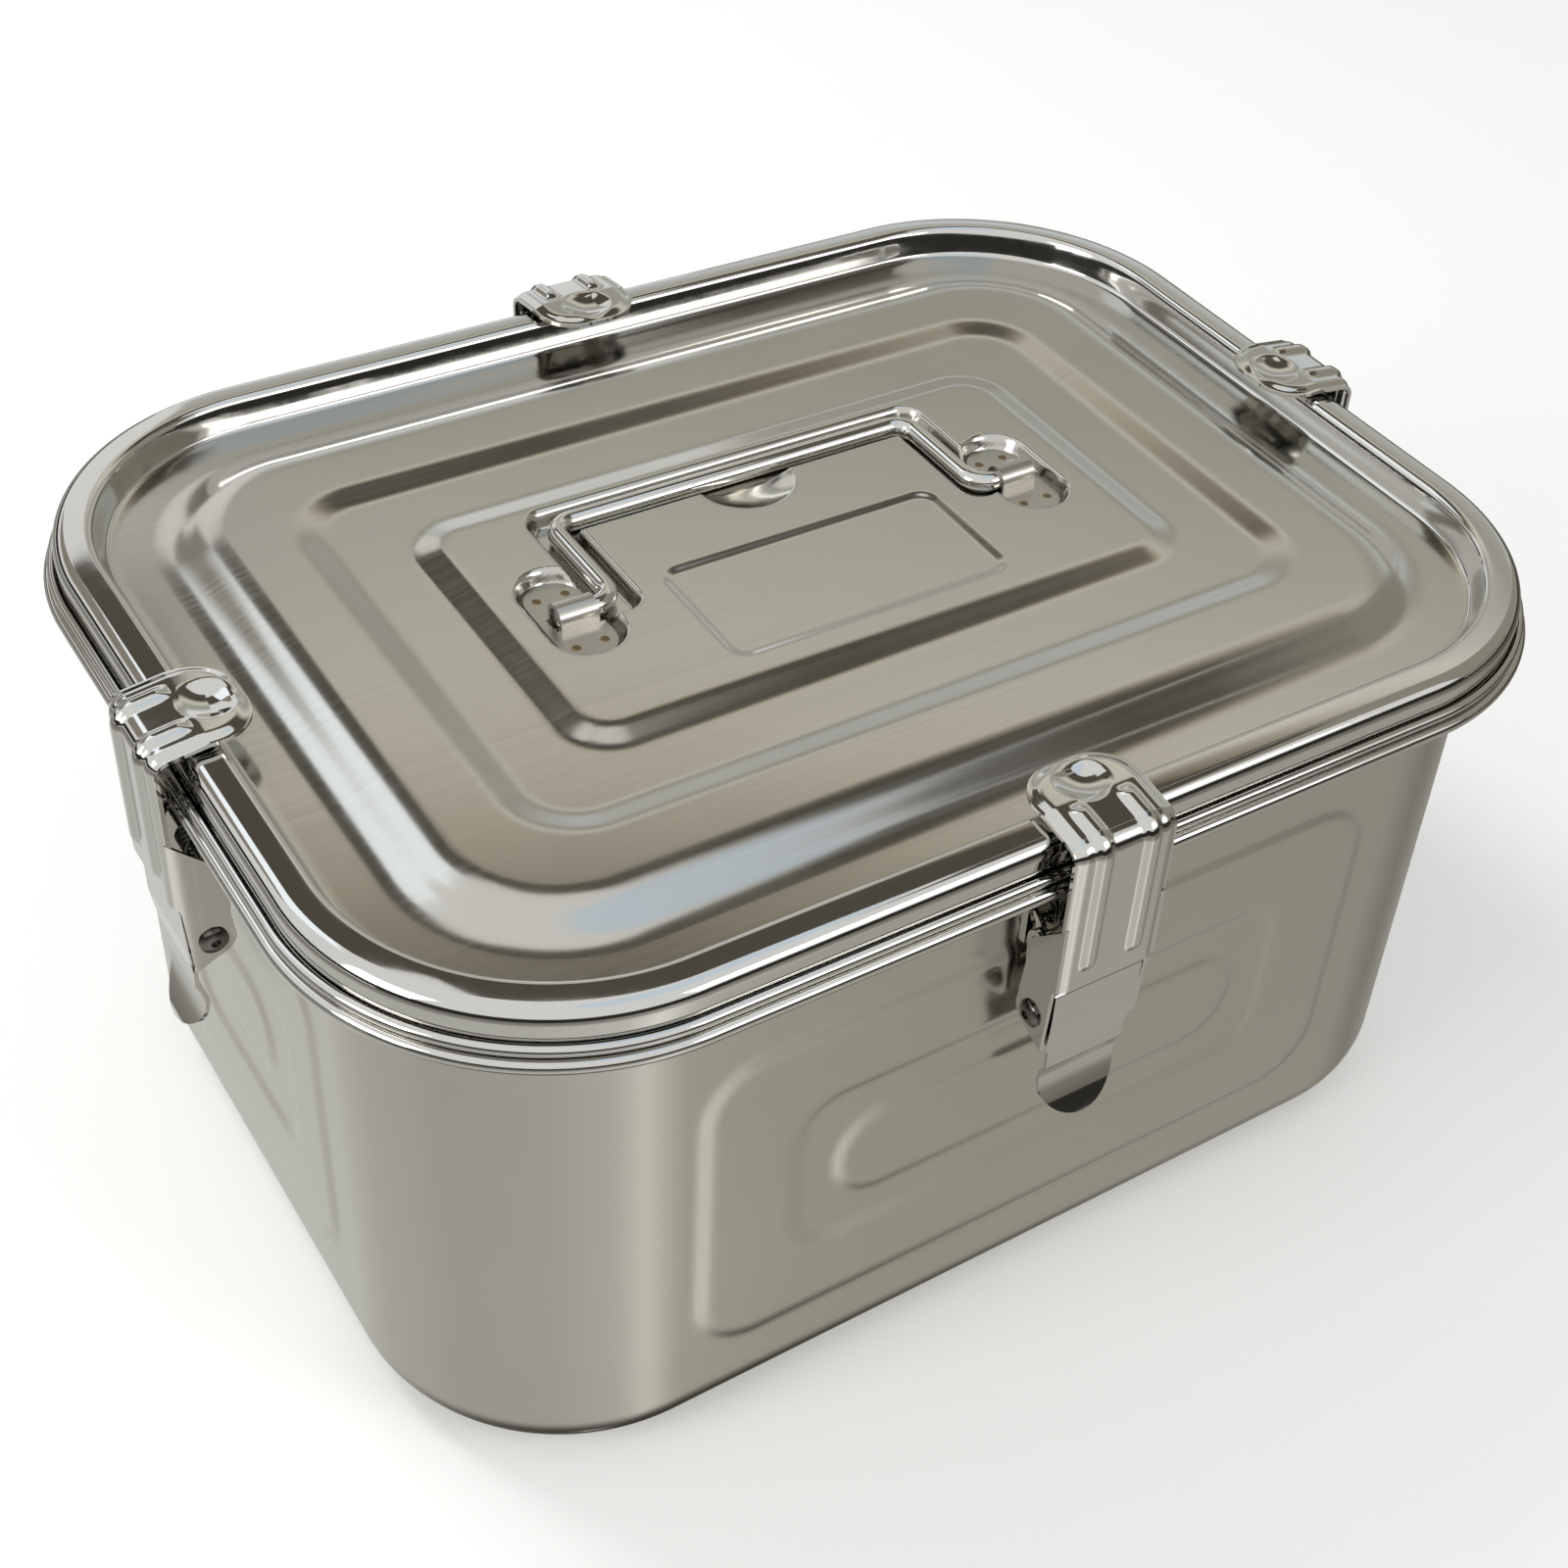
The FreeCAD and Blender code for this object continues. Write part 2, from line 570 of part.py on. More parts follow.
def latch_hook_pin():
    """The tubular rivet that joins hook and lever, with a domed, hollow head at each end."""
    reach = LATCH_WIDTH / 2 + RIVET_AIR
    shape = Part.makeCylinder(PIN / 2, 2 * reach, Vector(0, -reach, 0), Vector(0, 1, 0))
    rim = RIVET_HEAD / 2
    hole = RIVET_HOLE / 2
    profile = [
        Vector(0, reach, 0),
        Vector(rim, reach, 0),
        Vector(rim, reach + RIVET_HEAD_EDGE, 0),
    ]
    edges = [Part.LineSegment(a, b).toShape() for a, b in zip(profile, profile[1:])]
    crest = Vector(hole, reach + RIVET_HEAD_HEIGHT, 0)
    swell = Vector((rim + hole) / 2, reach + RIVET_SWELL, 0)
    pit = Vector(hole, reach + RIVET_HEAD_HEIGHT - RIVET_HOLE_DEPTH, 0)
    floor = Vector(0, pit.y, 0)
    edges.append(Part.Arc(profile[-1], swell, crest).toShape())
    edges.append(Part.LineSegment(crest, pit).toShape())
    edges.append(Part.LineSegment(pit, floor).toShape())
    edges.append(Part.LineSegment(floor, profile[0]).toShape())
    head = Part.Face(Part.Wire(edges)).revolve(Vector(), Vector(0, 1, 0), 360)
    shape = shape.fuse(head).fuse(head.mirror(Vector(), Vector(0, 1, 0)))
    shape = shape.removeSplitter()
    shape.translate(at(HOOK_PIVOT_U, HOOK_PIVOT_Z))
    return shape


def hook_rib(x):
    """A pressed rib up the hook's face, over its fold and along its lip."""
    half = (RIB_HEIGHT + RIB_ROOT) / 2
    out = RIB_HEIGHT - half
    face = HOOK_FACE + out
    top = LIP_TOP + out
    fold = HOOK_FOLD + out
    edges = rounded_run([at(face, RIB_BOTTOM), at(face, top), at(RIB_LIP_END, top)], [fold])
    rib = sheet_face(edges, 2 * half).extrude(Vector(0, RIB_WIDTH, 0))
    outer = []
    fold_centre = at(HOOK_FACE - HOOK_FOLD, LIP_TOP - HOOK_FOLD)
    for edge in rib.Edges:
        middle = edge.valueAt((edge.FirstParameter + edge.LastParameter) / 2)
        flat = Vector(middle.x, 0, middle.z)
        on_face = abs(flat.x - HOOK_FACE - RIB_HEIGHT) < 1e-6
        on_top = abs(flat.z - LIP_TOP - RIB_HEIGHT) < 1e-6
        on_fold = abs((flat - fold_centre).Length - HOOK_FOLD - RIB_HEIGHT) < 1e-6
        along = abs(middle.y) < 1e-6 or abs(middle.y - RIB_WIDTH) < 1e-6
        if along and (on_face or on_top or on_fold):
            outer.append(edge)
    rib = rib.makeFillet(RIB_EDGE, outer)
    rib.translate(Vector(0, x - RIB_WIDTH / 2, 0))
    return rib


def latch_hook():
    """The ribbed hook: face plate, fold, lip with a thumb dish, and two ears back to its rivet."""
    half = LATCH_SHEET / 2
    face = HOOK_FACE - half
    top = LIP_TOP - half
    edges = rounded_run([at(face, HOOK_BOTTOM + half), at(face, top), at(-LIP_REACH, top)], [HOOK_FOLD - half])
    sheet = sheet_face(edges, LATCH_SHEET).extrude(Vector(0, LATCH_WIDTH, 0))
    sheet.translate(Vector(0, -LATCH_WIDTH / 2, 0))
    outset = HOOK_FACE + 2 * LIP_CORNER
    middle_u = (outset - LIP_REACH) / 2
    blank = prism(
        (outset + LIP_REACH) / 2, LATCH_WIDTH / 2, LIP_CORNER, HOOK_BOTTOM - EXTRA, LIP_TOP + EXTRA, middle_u, 0.0
    )
    shape = sheet.common(blank)

    ball = (DISH_RADIUS**2 + DISH_DEPTH**2) / (2 * DISH_DEPTH)
    ball_centre = at(DISH_U, LIP_TOP - DISH_DEPTH + ball)
    slab = Part.makeBox(2 * LIP_REACH, LATCH_WIDTH, 2 * DISH_DEPTH)
    slab.translate(Vector(-2 * LIP_REACH, -LATCH_WIDTH / 2, top - 2 * DISH_DEPTH))
    shape = shape.fuse(Part.makeSphere(ball + LATCH_SHEET, ball_centre).common(slab))
    shape = shape.cut(Part.makeSphere(ball, ball_centre))

    inner = HOOK_FACE - LATCH_SHEET
    points = [
        (inner + half, EAR_TOP),
        (BASE_PIVOT_U, BASE_PIVOT_Z + BASE_LUG * LUG_TAPER_DROP),
        (HOOK_PIVOT_U - EAR_LUG, HOOK_PIVOT_Z),
        (HOOK_PIVOT_U - EAR_LUG / 2, HOOK_PIVOT_Z - EAR_LUG * EAR_TAPER_DROP),
        (LEVER_FACE - LATCH_SHEET, HOOK_PIVOT_Z - EAR_TOE_DROP),
        (LEVER_FACE, HOOK_BOTTOM - half),
        (inner + half, HOOK_BOTTOM + half),
    ]
    lugs = [(HOOK_PIVOT_U, HOOK_PIVOT_Z, EAR_LUG)]
    ear_inner = LATCH_WIDTH / 2 - LATCH_SHEET
    shape = shape.fuse(both_sides(lambda x: plate(points, lugs, LATCH_SHEET, x), ear_inner, LATCH_SHEET))
    for x in (-RIB_X, RIB_X):
        shape = shape.fuse(hook_rib(x))
    shape = shape.cut(cross_hole(HOOK_PIVOT_U, HOOK_PIVOT_Z, PIN / 2 + PIN_CLEARANCE))
    return shape.removeSplitter()


def tangent_arc(start, direction, end):
    """The arc that leaves start along direction and ends at end."""
    chord = end - start
    along = Vector(chord).normalize()
    side = direction - along * direction.dot(along)
    sagitta = chord.Length / 2 * math.tan(direction.getAngle(along) / 2)
    middle = (start + end) * 0.5 + side.normalize() * sagitta
    return Part.Arc(start, middle, end).toShape()


def spring_path():
    """Edges of the spring's wire: a leg on the wall bracket, the turns as biarcs, and a leg behind the lever."""
    wall_face = -WALL_INSET + LATCH_SHEET
    radius = BASE_PIVOT_U - wall_face - SPRING_WALL_GAP - SPRING_WIRE / 2
    first = math.pi
    last = math.radians(SPRING_LEG_ANGLE) + 2 * math.pi * SPRING_TURNS
    rise = SPRING_PITCH / (2 * math.pi)
    middle = (first + last) / 2

    def point(angle):
        return Vector(radius * math.cos(angle), rise * (angle - middle), radius * math.sin(angle))

    def tangent(angle):
        return Vector(-radius * math.sin(angle), rise, radius * math.cos(angle)).normalize()

    count = math.ceil((last - first) / (2 * math.pi) * ARCS_PER_TURN)
    angles = [first + (last - first) * k / count for k in range(count + 1)]
    edges = [Part.LineSegment(point(first) - tangent(first) * SPRING_REST_LEG, point(first)).toShape()]
    for a, b in zip(angles, angles[1:]):
        p, q, s, t = point(a), point(b), tangent(a), tangent(b)
        gap = q - p
        both = s + t
        spread = 2 * (1 - s.dot(t))
        reach = (-gap.dot(both) + math.sqrt(gap.dot(both) ** 2 + spread * gap.dot(gap))) / spread
        joint = (p + q + (s - t) * reach) * 0.5
        edges.append(tangent_arc(p, s, joint))
        edges.append(tangent_arc(q, t * -1, joint))
    lever_inner = LEVER_FACE - LATCH_SHEET - BASE_PIVOT_U
    target = lever_inner - SPRING_LEVER_GAP - SPRING_WIRE / 2
    heading = tangent(last)
    length = (target - point(last).x) / heading.x
    edges.append(Part.LineSegment(point(last), point(last) + heading * length).toShape())
    return edges


def latch_spring():
    """The torsion spring: one tube along its path, and its least gap to itself."""
    edges = spring_path()
    wire = Part.Wire(Part.__sortEdges__(edges))
    start = edges[0].Vertexes[0].Point
    heading = edges[0].tangentAt(edges[0].FirstParameter)
    section = Part.Wire(Part.Circle(start, heading, SPRING_WIRE / 2).toShape())
    spring = wire.makePipeShell([section], True, False)
    spring.translate(at(BASE_PIVOT_U, BASE_PIVOT_Z))
    samples = wire.discretize(Number=240)
    skip = math.ceil(len(samples) * 4 * SPRING_WIRE / wire.Length)
    gaps = [
        a.distanceToPoint(b)
        for i, a in enumerate(samples)
        for b in samples[i + skip :]
    ]
    return spring, min(gaps) - SPRING_WIRE


def placed(shape, side):
    """Turn a latch piece, drawn with u along X, to the middle of one side of the rim."""
    angle, distance = {
        "front": (-90, HALF_WIDTH),
        "right": (0, HALF_LENGTH),
        "back": (90, HALF_WIDTH),
        "left": (180, HALF_LENGTH),
    }[side]
    piece = shape.translated(Vector(distance, 0, 0))
    piece.rotate(Vector(), Vector(0, 0, 1), angle)
    return piece


def main():
    os.makedirs("parts", exist_ok=True)
    nodes = {
        "box_body": box_body(),
        "lid_shell": lid_shell(),
        "lid_gasket": lid_gasket(),
        "carry_handle": carry_handle(),
        "handle_bracket_left": handle_bracket(-1),
        "handle_bracket_right": handle_bracket(1),
    }
    spring, spring_gap = latch_spring()
    latch = {
        "base": latch_base(),
        "base_pin": latch_base_pin(),
        "lever": latch_lever(),
        "hook_pin": latch_hook_pin(),
        "hook": latch_hook(),
        "spring": spring,
    }
    for side in ("front", "right", "back", "left"):
        for name, shape in latch.items():
            nodes[f"latch_{side}_{name}"] = placed(shape, side)
    for name, shape in nodes.items():
        shape.exportStep(f"parts/{name}.step")
        print(name, "valid" if shape.isValid() else "INVALID", len(shape.Solids), round(shape.Volume, 1))
    print("spring's least gap to itself", round(spring_gap, 2), "mm")
    print("hook pivot", HOOK_PIVOT_U, HOOK_PIVOT_Z, "base pivot", round(BASE_PIVOT_U, 3), round(BASE_PIVOT_Z, 3))
    print("handle axis height", round(ROD_Z, 2))


main()
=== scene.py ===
import math

import bmesh
import bpy
import numpy as np
from mathutils import Matrix, Vector


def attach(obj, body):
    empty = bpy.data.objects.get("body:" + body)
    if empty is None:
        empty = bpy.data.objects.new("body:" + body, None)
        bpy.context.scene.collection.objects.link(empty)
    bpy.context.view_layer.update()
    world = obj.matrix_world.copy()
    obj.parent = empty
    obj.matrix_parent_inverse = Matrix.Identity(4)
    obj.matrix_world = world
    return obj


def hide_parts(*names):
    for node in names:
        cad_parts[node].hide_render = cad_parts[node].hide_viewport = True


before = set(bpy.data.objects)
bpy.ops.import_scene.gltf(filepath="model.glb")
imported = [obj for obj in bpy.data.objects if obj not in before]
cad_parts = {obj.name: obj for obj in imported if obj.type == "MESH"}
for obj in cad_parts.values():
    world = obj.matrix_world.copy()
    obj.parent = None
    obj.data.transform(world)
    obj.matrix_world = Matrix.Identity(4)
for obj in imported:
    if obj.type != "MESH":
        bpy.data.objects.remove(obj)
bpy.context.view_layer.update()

# Sizes in millimetres, in the frame of the solids: u is the distance outward from the rim's outer edge.
MM = 0.001
HALF_LENGTH = 160.0
HALF_WIDTH = 123.0
RIM_CORNER = 65.0
SIDES = {"front": -90, "right": 0, "back": 90, "left": 180}
BASE_PIVOT = (-6.654, 124.239)
HOOK_PIVOT = (-3.6, 106.5)
BEVEL_SEGMENTS = 2
BEVEL_ANGLE = math.radians(35)
NEARLY_ZERO = 1e-9
RAMP_BEND = 0.22


def smooth(x):
    """A smooth step from 0 to 1 over 0 to 1."""
    x = np.clip(x, 0.0, 1.0)
    return x * x * (3.0 - 2.0 * x)


def ramp(x):
    """A straight ramp from 0 to 1 over 0 to 1, with its two ends rounded."""
    x = np.clip(x, 0.0, 1.0)
    steep = 1.0 / (1.0 - RAMP_BEND)
    low = steep * x * x / (2.0 * RAMP_BEND)
    high = 1.0 - steep * (1.0 - x) ** 2 / (2.0 * RAMP_BEND)
    middle = steep * (x - RAMP_BEND / 2.0)
    return np.where(x < RAMP_BEND, low, np.where(x > 1.0 - RAMP_BEND, high, middle))


def inside(x, y, half_x, half_y, radius, slope):
    """1 inside a rounded rectangle and 0 outside, with a slope of the given width on its edge."""
    return ramp(0.5 - rounded_distance(x, y, half_x, half_y, radius) / slope)


def rounded_distance(x, y, half_x, half_y, radius):
    """Signed distance from a rounded rectangle about the origin."""
    qx = np.abs(x) - half_x + radius
    qy = np.abs(y) - half_y + radius
    outer = np.hypot(np.maximum(qx, 0.0), np.maximum(qy, 0.0))
    return outer + np.minimum(np.maximum(qx, qy), 0.0) - radius


def rounded_run(points, radii, step):
    """Points along straight runs with a tangent arc at each inner point."""
    points = [np.array(p, float) for p in points]
    out = [points[0]]
    for before, corner, after, radius in zip(points, points[1:], points[2:], radii):
        into = (corner - before) / np.linalg.norm(corner - before)
        leave = (after - corner) / np.linalg.norm(after - corner)
        turn = math.acos(np.clip(into @ leave, -1.0, 1.0))
        tangent = radius * math.tan(turn / 2)
        first = corner - into * tangent
        side = leave - into * (leave @ into)
        side /= np.linalg.norm(side)
        centre = first + side * radius
        count = max(6, math.ceil(radius * turn / step))
        for k in range(count + 1):
            angle = turn * k / count
            out.append(centre - side * radius * math.cos(angle) + into * radius * math.sin(angle))
    out.append(points[-1])
    return np.array(out)


def arc(centre, radius, start, end, count):
    """Points of an arc, in degrees."""
    angles = np.radians(np.linspace(start, end, count + 1))
    return np.array(centre) + radius * np.stack([np.cos(angles), np.sin(angles)], 1)


def dense(path, step):
    """The path with its long runs divided."""
    out = [path[0]]
    for a, b in zip(path, path[1:]):
        length = np.linalg.norm(b - a)
        if length < NEARLY_ZERO:
            continue
        count = max(1, math.ceil(length / step))
        out += [a + (b - a) * k / count for k in range(1, count + 1)]
    return np.array(out)


def tangents_of(path):
    """Unit tangents of an open path."""
    steps = np.diff(path, axis=0)
    steps /= np.linalg.norm(steps, axis=1)[:, None]
    tangents = np.vstack([steps[:1], steps[:-1] + steps[1:], steps[-1:]])
    return tangents / np.linalg.norm(tangents, axis=1)[:, None]


def normals_of(path):
    """Left-hand normals of an open path in a plane."""
    tangents = tangents_of(path)
    return np.stack([-tangents[:, 1], tangents[:, 0]], 1)


def finish_mesh(name, verts, faces):
    """A smooth mesh object, in metres, from vertices in millimetres."""
    mesh = bpy.data.meshes.new(name)
    mesh.from_pydata((np.asarray(verts) * MM).tolist(), [], [list(f) for f in faces])
    mesh.validate()
    bm = bmesh.new()
    bm.from_mesh(mesh)
    bmesh.ops.recalc_face_normals(bm, faces=bm.faces)
    bm.to_mesh(mesh)
    bm.free()
    for polygon in mesh.polygons:
        polygon.use_smooth = True
    obj = bpy.data.objects.new(name, mesh)
    bpy.context.scene.collection.objects.link(obj)
    return obj


def grid_faces(rows, columns, closed_rows=False, closed_columns=False, start=0):
    """Quads between the rows and columns of a grid of vertices."""
    faces = []
    for i in range(rows if closed_rows else rows - 1):
        a = start + i * columns
        b = start + ((i + 1) % rows) * columns
        for j in range(columns if closed_columns else columns - 1):
            k = (j + 1) % columns
            faces.append((a + j, a + k, b + k, b + j))
    return faces


def add_modifier(obj, kind, **settings):
    """A modifier with its settings."""
    modifier = obj.modifiers.new(kind.title(), kind)
    for key, value in settings.items():
        setattr(modifier, key, value)


def soften(obj, width):
    """Rounded edges on a hard-edged piece."""
    add_modifier(
        obj,
        "BEVEL",
        width=width * MM,
        segments=BEVEL_SEGMENTS,
        limit_method="ANGLE",
        angle_limit=BEVEL_ANGLE,
        harden_normals=True,
    )


def on_circle(centre, radius, angle):
    """The point of a circle at an angle in radians."""
    return np.array(centre) + radius * np.array([math.cos(angle), math.sin(angle)])


def rounded_ring(half_x, half_y, radius, long_count, short_count):
    """Points and outward normals round a rounded rectangle, counted from corner middle to corner middle."""
    points = []
    normals = []
    sides = (
        (half_x, half_y, short_count, 0),
        (half_y, half_x, long_count, 90),
        (half_x, half_y, short_count, 180),
        (half_y, half_x, long_count, 270),
    )
    for out, along, count, angle in sides:
        bend = radius * math.pi / 4
        straight = 2 * (along - radius)
        total = straight + 2 * bend
        c, s = math.cos(math.radians(angle)), math.sin(math.radians(angle))
        for k in range(count):
            place = total * k / count
            turn = 0.0
            p = np.array([out, -(along - radius) + place - bend])
            if place < bend and radius > 0:
                turn = -math.pi / 4 + place / radius
                p = on_circle((out - radius, -(along - radius)), radius, turn)
            elif place > bend + straight and radius > 0:
                turn = (place - bend - straight) / radius
                p = on_circle((out - radius, along - radius), radius, turn)
            n = np.array([math.cos(turn), math.sin(turn)])
            points.append((c * p[0] - s * p[1], s * p[0] + c * p[1]))
            normals.append((c * n[0] - s * n[1], s * n[0] + c * n[1]))
    return np.array(points), np.array(normals)


def rim_ring(u, long_count, short_count):
    """The rim's rounded rectangle at distance u from its outer edge."""
    return rounded_ring(HALF_LENGTH + u, HALF_WIDTH + u, RIM_CORNER + u, long_count, short_count)


# Box, with each panel's half length, half height and corner
BOX_SHEET = 0.8
WALL_U = -11.4
WALL_STEP = 1.6
WALL_COUNTS = (190, 144)
STRAIGHT = 0.999
BOX_CURL_RADIUS = 1.7
BOX_CURL_Z = 144.9
FLANGE_Z = 146.6
FLANGE_BEND = 3.0
FLOOR_BEND = 14.2
FLOOR_END_U = -32.0
PANEL_HEIGHT = 0.7
PANEL_SLOPE = 3.6
PANEL_MIDDLE = 73.5
PANEL_FROM_U = -30.0
PANEL_FROM_Z = 5.0
PANEL_TO_Z = 142.0
PANEL_FADE = 10.0
PANEL_TOP_FADE = 8.0
PANEL_SIZES = (
    ((90.0, 45.5, 15.0), (67.0, 24.0, 12.0), (56.0, 13.0, 12.5)),
    ((48.0, 45.5, 15.0), (30.0, 24.0, 12.0), (19.0, 13.0, 12.5)),
)


def panel_lift(along, height, sizes):
    """How far a wall's pressed panel stands out."""
    outer, sunk, middle = [inside(along, height - PANEL_MIDDLE, *size, PANEL_SLOPE) for size in sizes]
    return PANEL_HEIGHT * (outer - sunk + middle)


def make_box():
    """The drawn box, with its rolled rim, flange, pressed walls and rounded floor edge."""
    curl = arc((-BOX_CURL_RADIUS, BOX_CURL_Z), BOX_CURL_RADIUS, -180, 90, 26)
    wall_u = WALL_U - BOX_SHEET
    flange = [(-BOX_CURL_RADIUS, FLANGE_Z), (wall_u, FLANGE_Z)]
    floor_edge = [(wall_u, BOX_SHEET), (FLOOR_END_U, BOX_SHEET)]
    run = rounded_run(flange + floor_edge, [FLANGE_BEND, FLOOR_BEND], step=0.7)
    path = dense(np.vstack([curl, run[1:]]), WALL_STEP)
    rows = []
    for u, z in path:
        points, normals = rim_ring(u, *WALL_COUNTS)
        flat = smooth((u - PANEL_FROM_U) / PANEL_FADE)
        flat *= smooth((z - PANEL_FROM_Z) / PANEL_FADE)
        flat *= smooth((PANEL_TO_Z - z) / PANEL_TOP_FADE)
        on_long = np.abs(normals[:, 1]) > STRAIGHT
        on_short = np.abs(normals[:, 0]) > STRAIGHT
        lift = np.where(on_long, panel_lift(points[:, 0], z, PANEL_SIZES[0]), 0.0)
        lift = np.where(on_short, panel_lift(points[:, 1], z, PANEL_SIZES[1]), lift)
        points = points + normals * (lift * flat)[:, None]
        rows.append(np.column_stack([points, np.full(len(points), z)]))
    columns = len(rows[0])
    verts = np.vstack(rows)
    faces = grid_faces(len(rows), columns, closed_columns=True)
    last = (len(rows) - 1) * columns
    faces.append(tuple(range(last, last + columns)))
    box = finish_mesh("box_drawn", verts, faces)
    floor = box.data.polygons[-1]
    add_modifier(box, "SOLIDIFY", thickness=BOX_SHEET * MM, offset=-floor.normal.z)
    return box


# Lid, with each pressed form's half length, half width and corner
LID_SHEET = 0.8
LID_CURL_CENTRE = (-2.6, 148.3)
LID_CURL_RADIUS = 1.0
LID_PROFILE = (
    (-3.6, 148.3),
    (-3.6, 156.6),
    (-11.9, 157.3),
    (-14.3, 149.6),
    (-28.7, 149.6),
    (-37.7, 153.6),
    (-44.7, 153.6),
)
LID_BENDS = (3.4, 1.6, 1.9, 20.0, 20.0)
PLATEAU_Z = 154.0
STEP_DEPTH = 1.5
STEP_SLOPE = 8.5
SUNK_BAND = (102.0, 65.0, 15.5)
RAISED_CENTRE = (80.5, 43.5, 10.5)
BARE_PLATE = (37.25, 17.75, 4.3)
BARE_PLATE_Y = -15.0
BARE_PLATE_DEPTH = 0.6
BARE_PLATE_SLOPE = 2.4
NEST_DEPTH = 4.0
NEST_WALL = 2.4
NEST_OUTSET = 1.0
# The handle's bed: middle, half sizes and corner of the grip, a leg, a bracket's pocket and what joins them
NEST_PARTS = (
    (0.0, 32.5, 55.0, 4.5, 4.4),
    (50.5, 16.0, 4.5, 21.0, 4.4),
    (62.0, 0.0, 8.0, 16.0, 7.9),
    (54.5, 3.0, 2.5, 6.0, 2.4),
)
SCOOP_CENTRE_Y = 28.0
SCOOP_RADIUS = 13.0
SCOOP_END_Y = 33.0
GRID = 0.5
GRID_HALF = (74.0, 38.0)
GRID_RINGS = 44
SAME_POINT = 0.02


def lid_height(x, y):
    """The lid's top inside its plateau: sunk band, raised centre, bare plate, handle bed and finger scoop."""
    sunk = inside(x, y, *SUNK_BAND, STEP_SLOPE)
    centre = inside(x, y, *RAISED_CENTRE, STEP_SLOPE)
    z = PLATEAU_Z - STEP_DEPTH * (sunk - centre)
    z = z - BARE_PLATE_DEPTH * inside(x, y - BARE_PLATE_Y, *BARE_PLATE, BARE_PLATE_SLOPE)
    parts = [rounded_distance(np.abs(x) - at_x, y - at_y, *size) for at_x, at_y, *size in NEST_PARTS]
    nest = np.minimum.reduce(parts)
    z = z - NEST_DEPTH * smooth((NEST_WALL - NEST_OUTSET - nest) / NEST_WALL)
    ball = (SCOOP_RADIUS**2 + NEST_DEPTH**2) / (2 * NEST_DEPTH)
    reach = np.minimum(np.hypot(x, y - SCOOP_CENTRE_Y), ball)
    scoop = PLATEAU_Z - NEST_DEPTH + ball - np.sqrt(ball**2 - reach**2)
    return np.where(y < SCOOP_END_Y, np.minimum(z, scoop), z)


def make_lid():
    """The pressed lid in one sheet."""
    nx = round(2 * GRID_HALF[0] / GRID)
    ny = round(2 * GRID_HALF[1] / GRID)
    curl = arc(LID_CURL_CENTRE, LID_CURL_RADIUS, 90, -180, 26)
    run = rounded_run(LID_PROFILE, LID_BENDS, step=0.4)
    middle = dense(np.vstack([curl, run[1:]]), step=2.0)
    path = middle - normals_of(middle) * LID_SHEET / 2
    rows = []
    for u, z in path:
        points, _ = rim_ring(u, nx, ny)
        rows.append(np.column_stack([points, np.full(len(points), z)]))
    half_x, half_y = HALF_LENGTH + path[-1, 0], HALF_WIDTH + path[-1, 0]
    radius = RIM_CORNER + path[-1, 0]
    for k in range(1, GRID_RINGS + 1):
        share = k / GRID_RINGS
        hx = half_x + (GRID_HALF[0] - half_x) * share
        hy = half_y + (GRID_HALF[1] - half_y) * share
        points, _ = rounded_ring(hx, hy, radius * (1.0 - share), nx, ny)
        rows.append(np.column_stack([points, lid_height(points[:, 0], points[:, 1])]))
    columns = len(rows[0])
    verts = np.vstack(rows)
    faces = grid_faces(len(rows), columns, closed_columns=True)
    xs = np.linspace(-GRID_HALF[0], GRID_HALF[0], nx + 1)
    ys = np.linspace(-GRID_HALF[1], GRID_HALF[1], ny + 1)
    gx, gy = np.meshgrid(xs, ys)
    inner = np.column_stack([gx.ravel(), gy.ravel(), lid_height(gx.ravel(), gy.ravel())])
    start = len(verts)
    verts = np.vstack([verts, inner])
    faces += grid_faces(ny + 1, nx + 1, start=start)
    lid = finish_mesh("lid_pressed", verts, faces)
    bm = bmesh.new()
    bm.from_mesh(lid.data)
    bmesh.ops.remove_doubles(bm, verts=bm.verts, dist=SAME_POINT * MM)
    bmesh.ops.recalc_face_normals(bm, faces=bm.faces)
    top = max(bm.faces, key=lambda f: f.calc_area())
    if top.normal.z < 0:
        bmesh.ops.reverse_faces(bm, faces=bm.faces)
    bm.to_mesh(lid.data)
    bm.free()
    for polygon in lid.data.polygons:
        polygon.use_smooth = True
    add_modifier(lid, "SOLIDIFY", thickness=LID_SHEET * MM, offset=-1.0)
    return lid


# Seal
SEAL_BODY = ((-4.6, 149.6), (-4.6, 155.2), (-5.2, 155.8), (-10.2, 155.8), (-10.8, 155.2), (-10.8, 149.6))
SEAL_LIP_CENTRE = (-7.7, 148.9)
SEAL_LIP_RADIUS = 2.0
SEAL_COUNTS = (96, 72)


def make_gasket():
    """The soft seal in the lid's ring."""
    profile = np.vstack([SEAL_BODY, arc(SEAL_LIP_CENTRE, SEAL_LIP_RADIUS, 180, 360, 12)])
    rows = []
    for u, z in profile:
        points, _ = rim_ring(u, *SEAL_COUNTS)
        rows.append(np.column_stack([points, np.full(len(points), z)]))
    faces = grid_faces(len(rows), len(rows[0]), closed_rows=True, closed_columns=True)
    return finish_mesh("lid_seal", np.vstack(rows), faces)


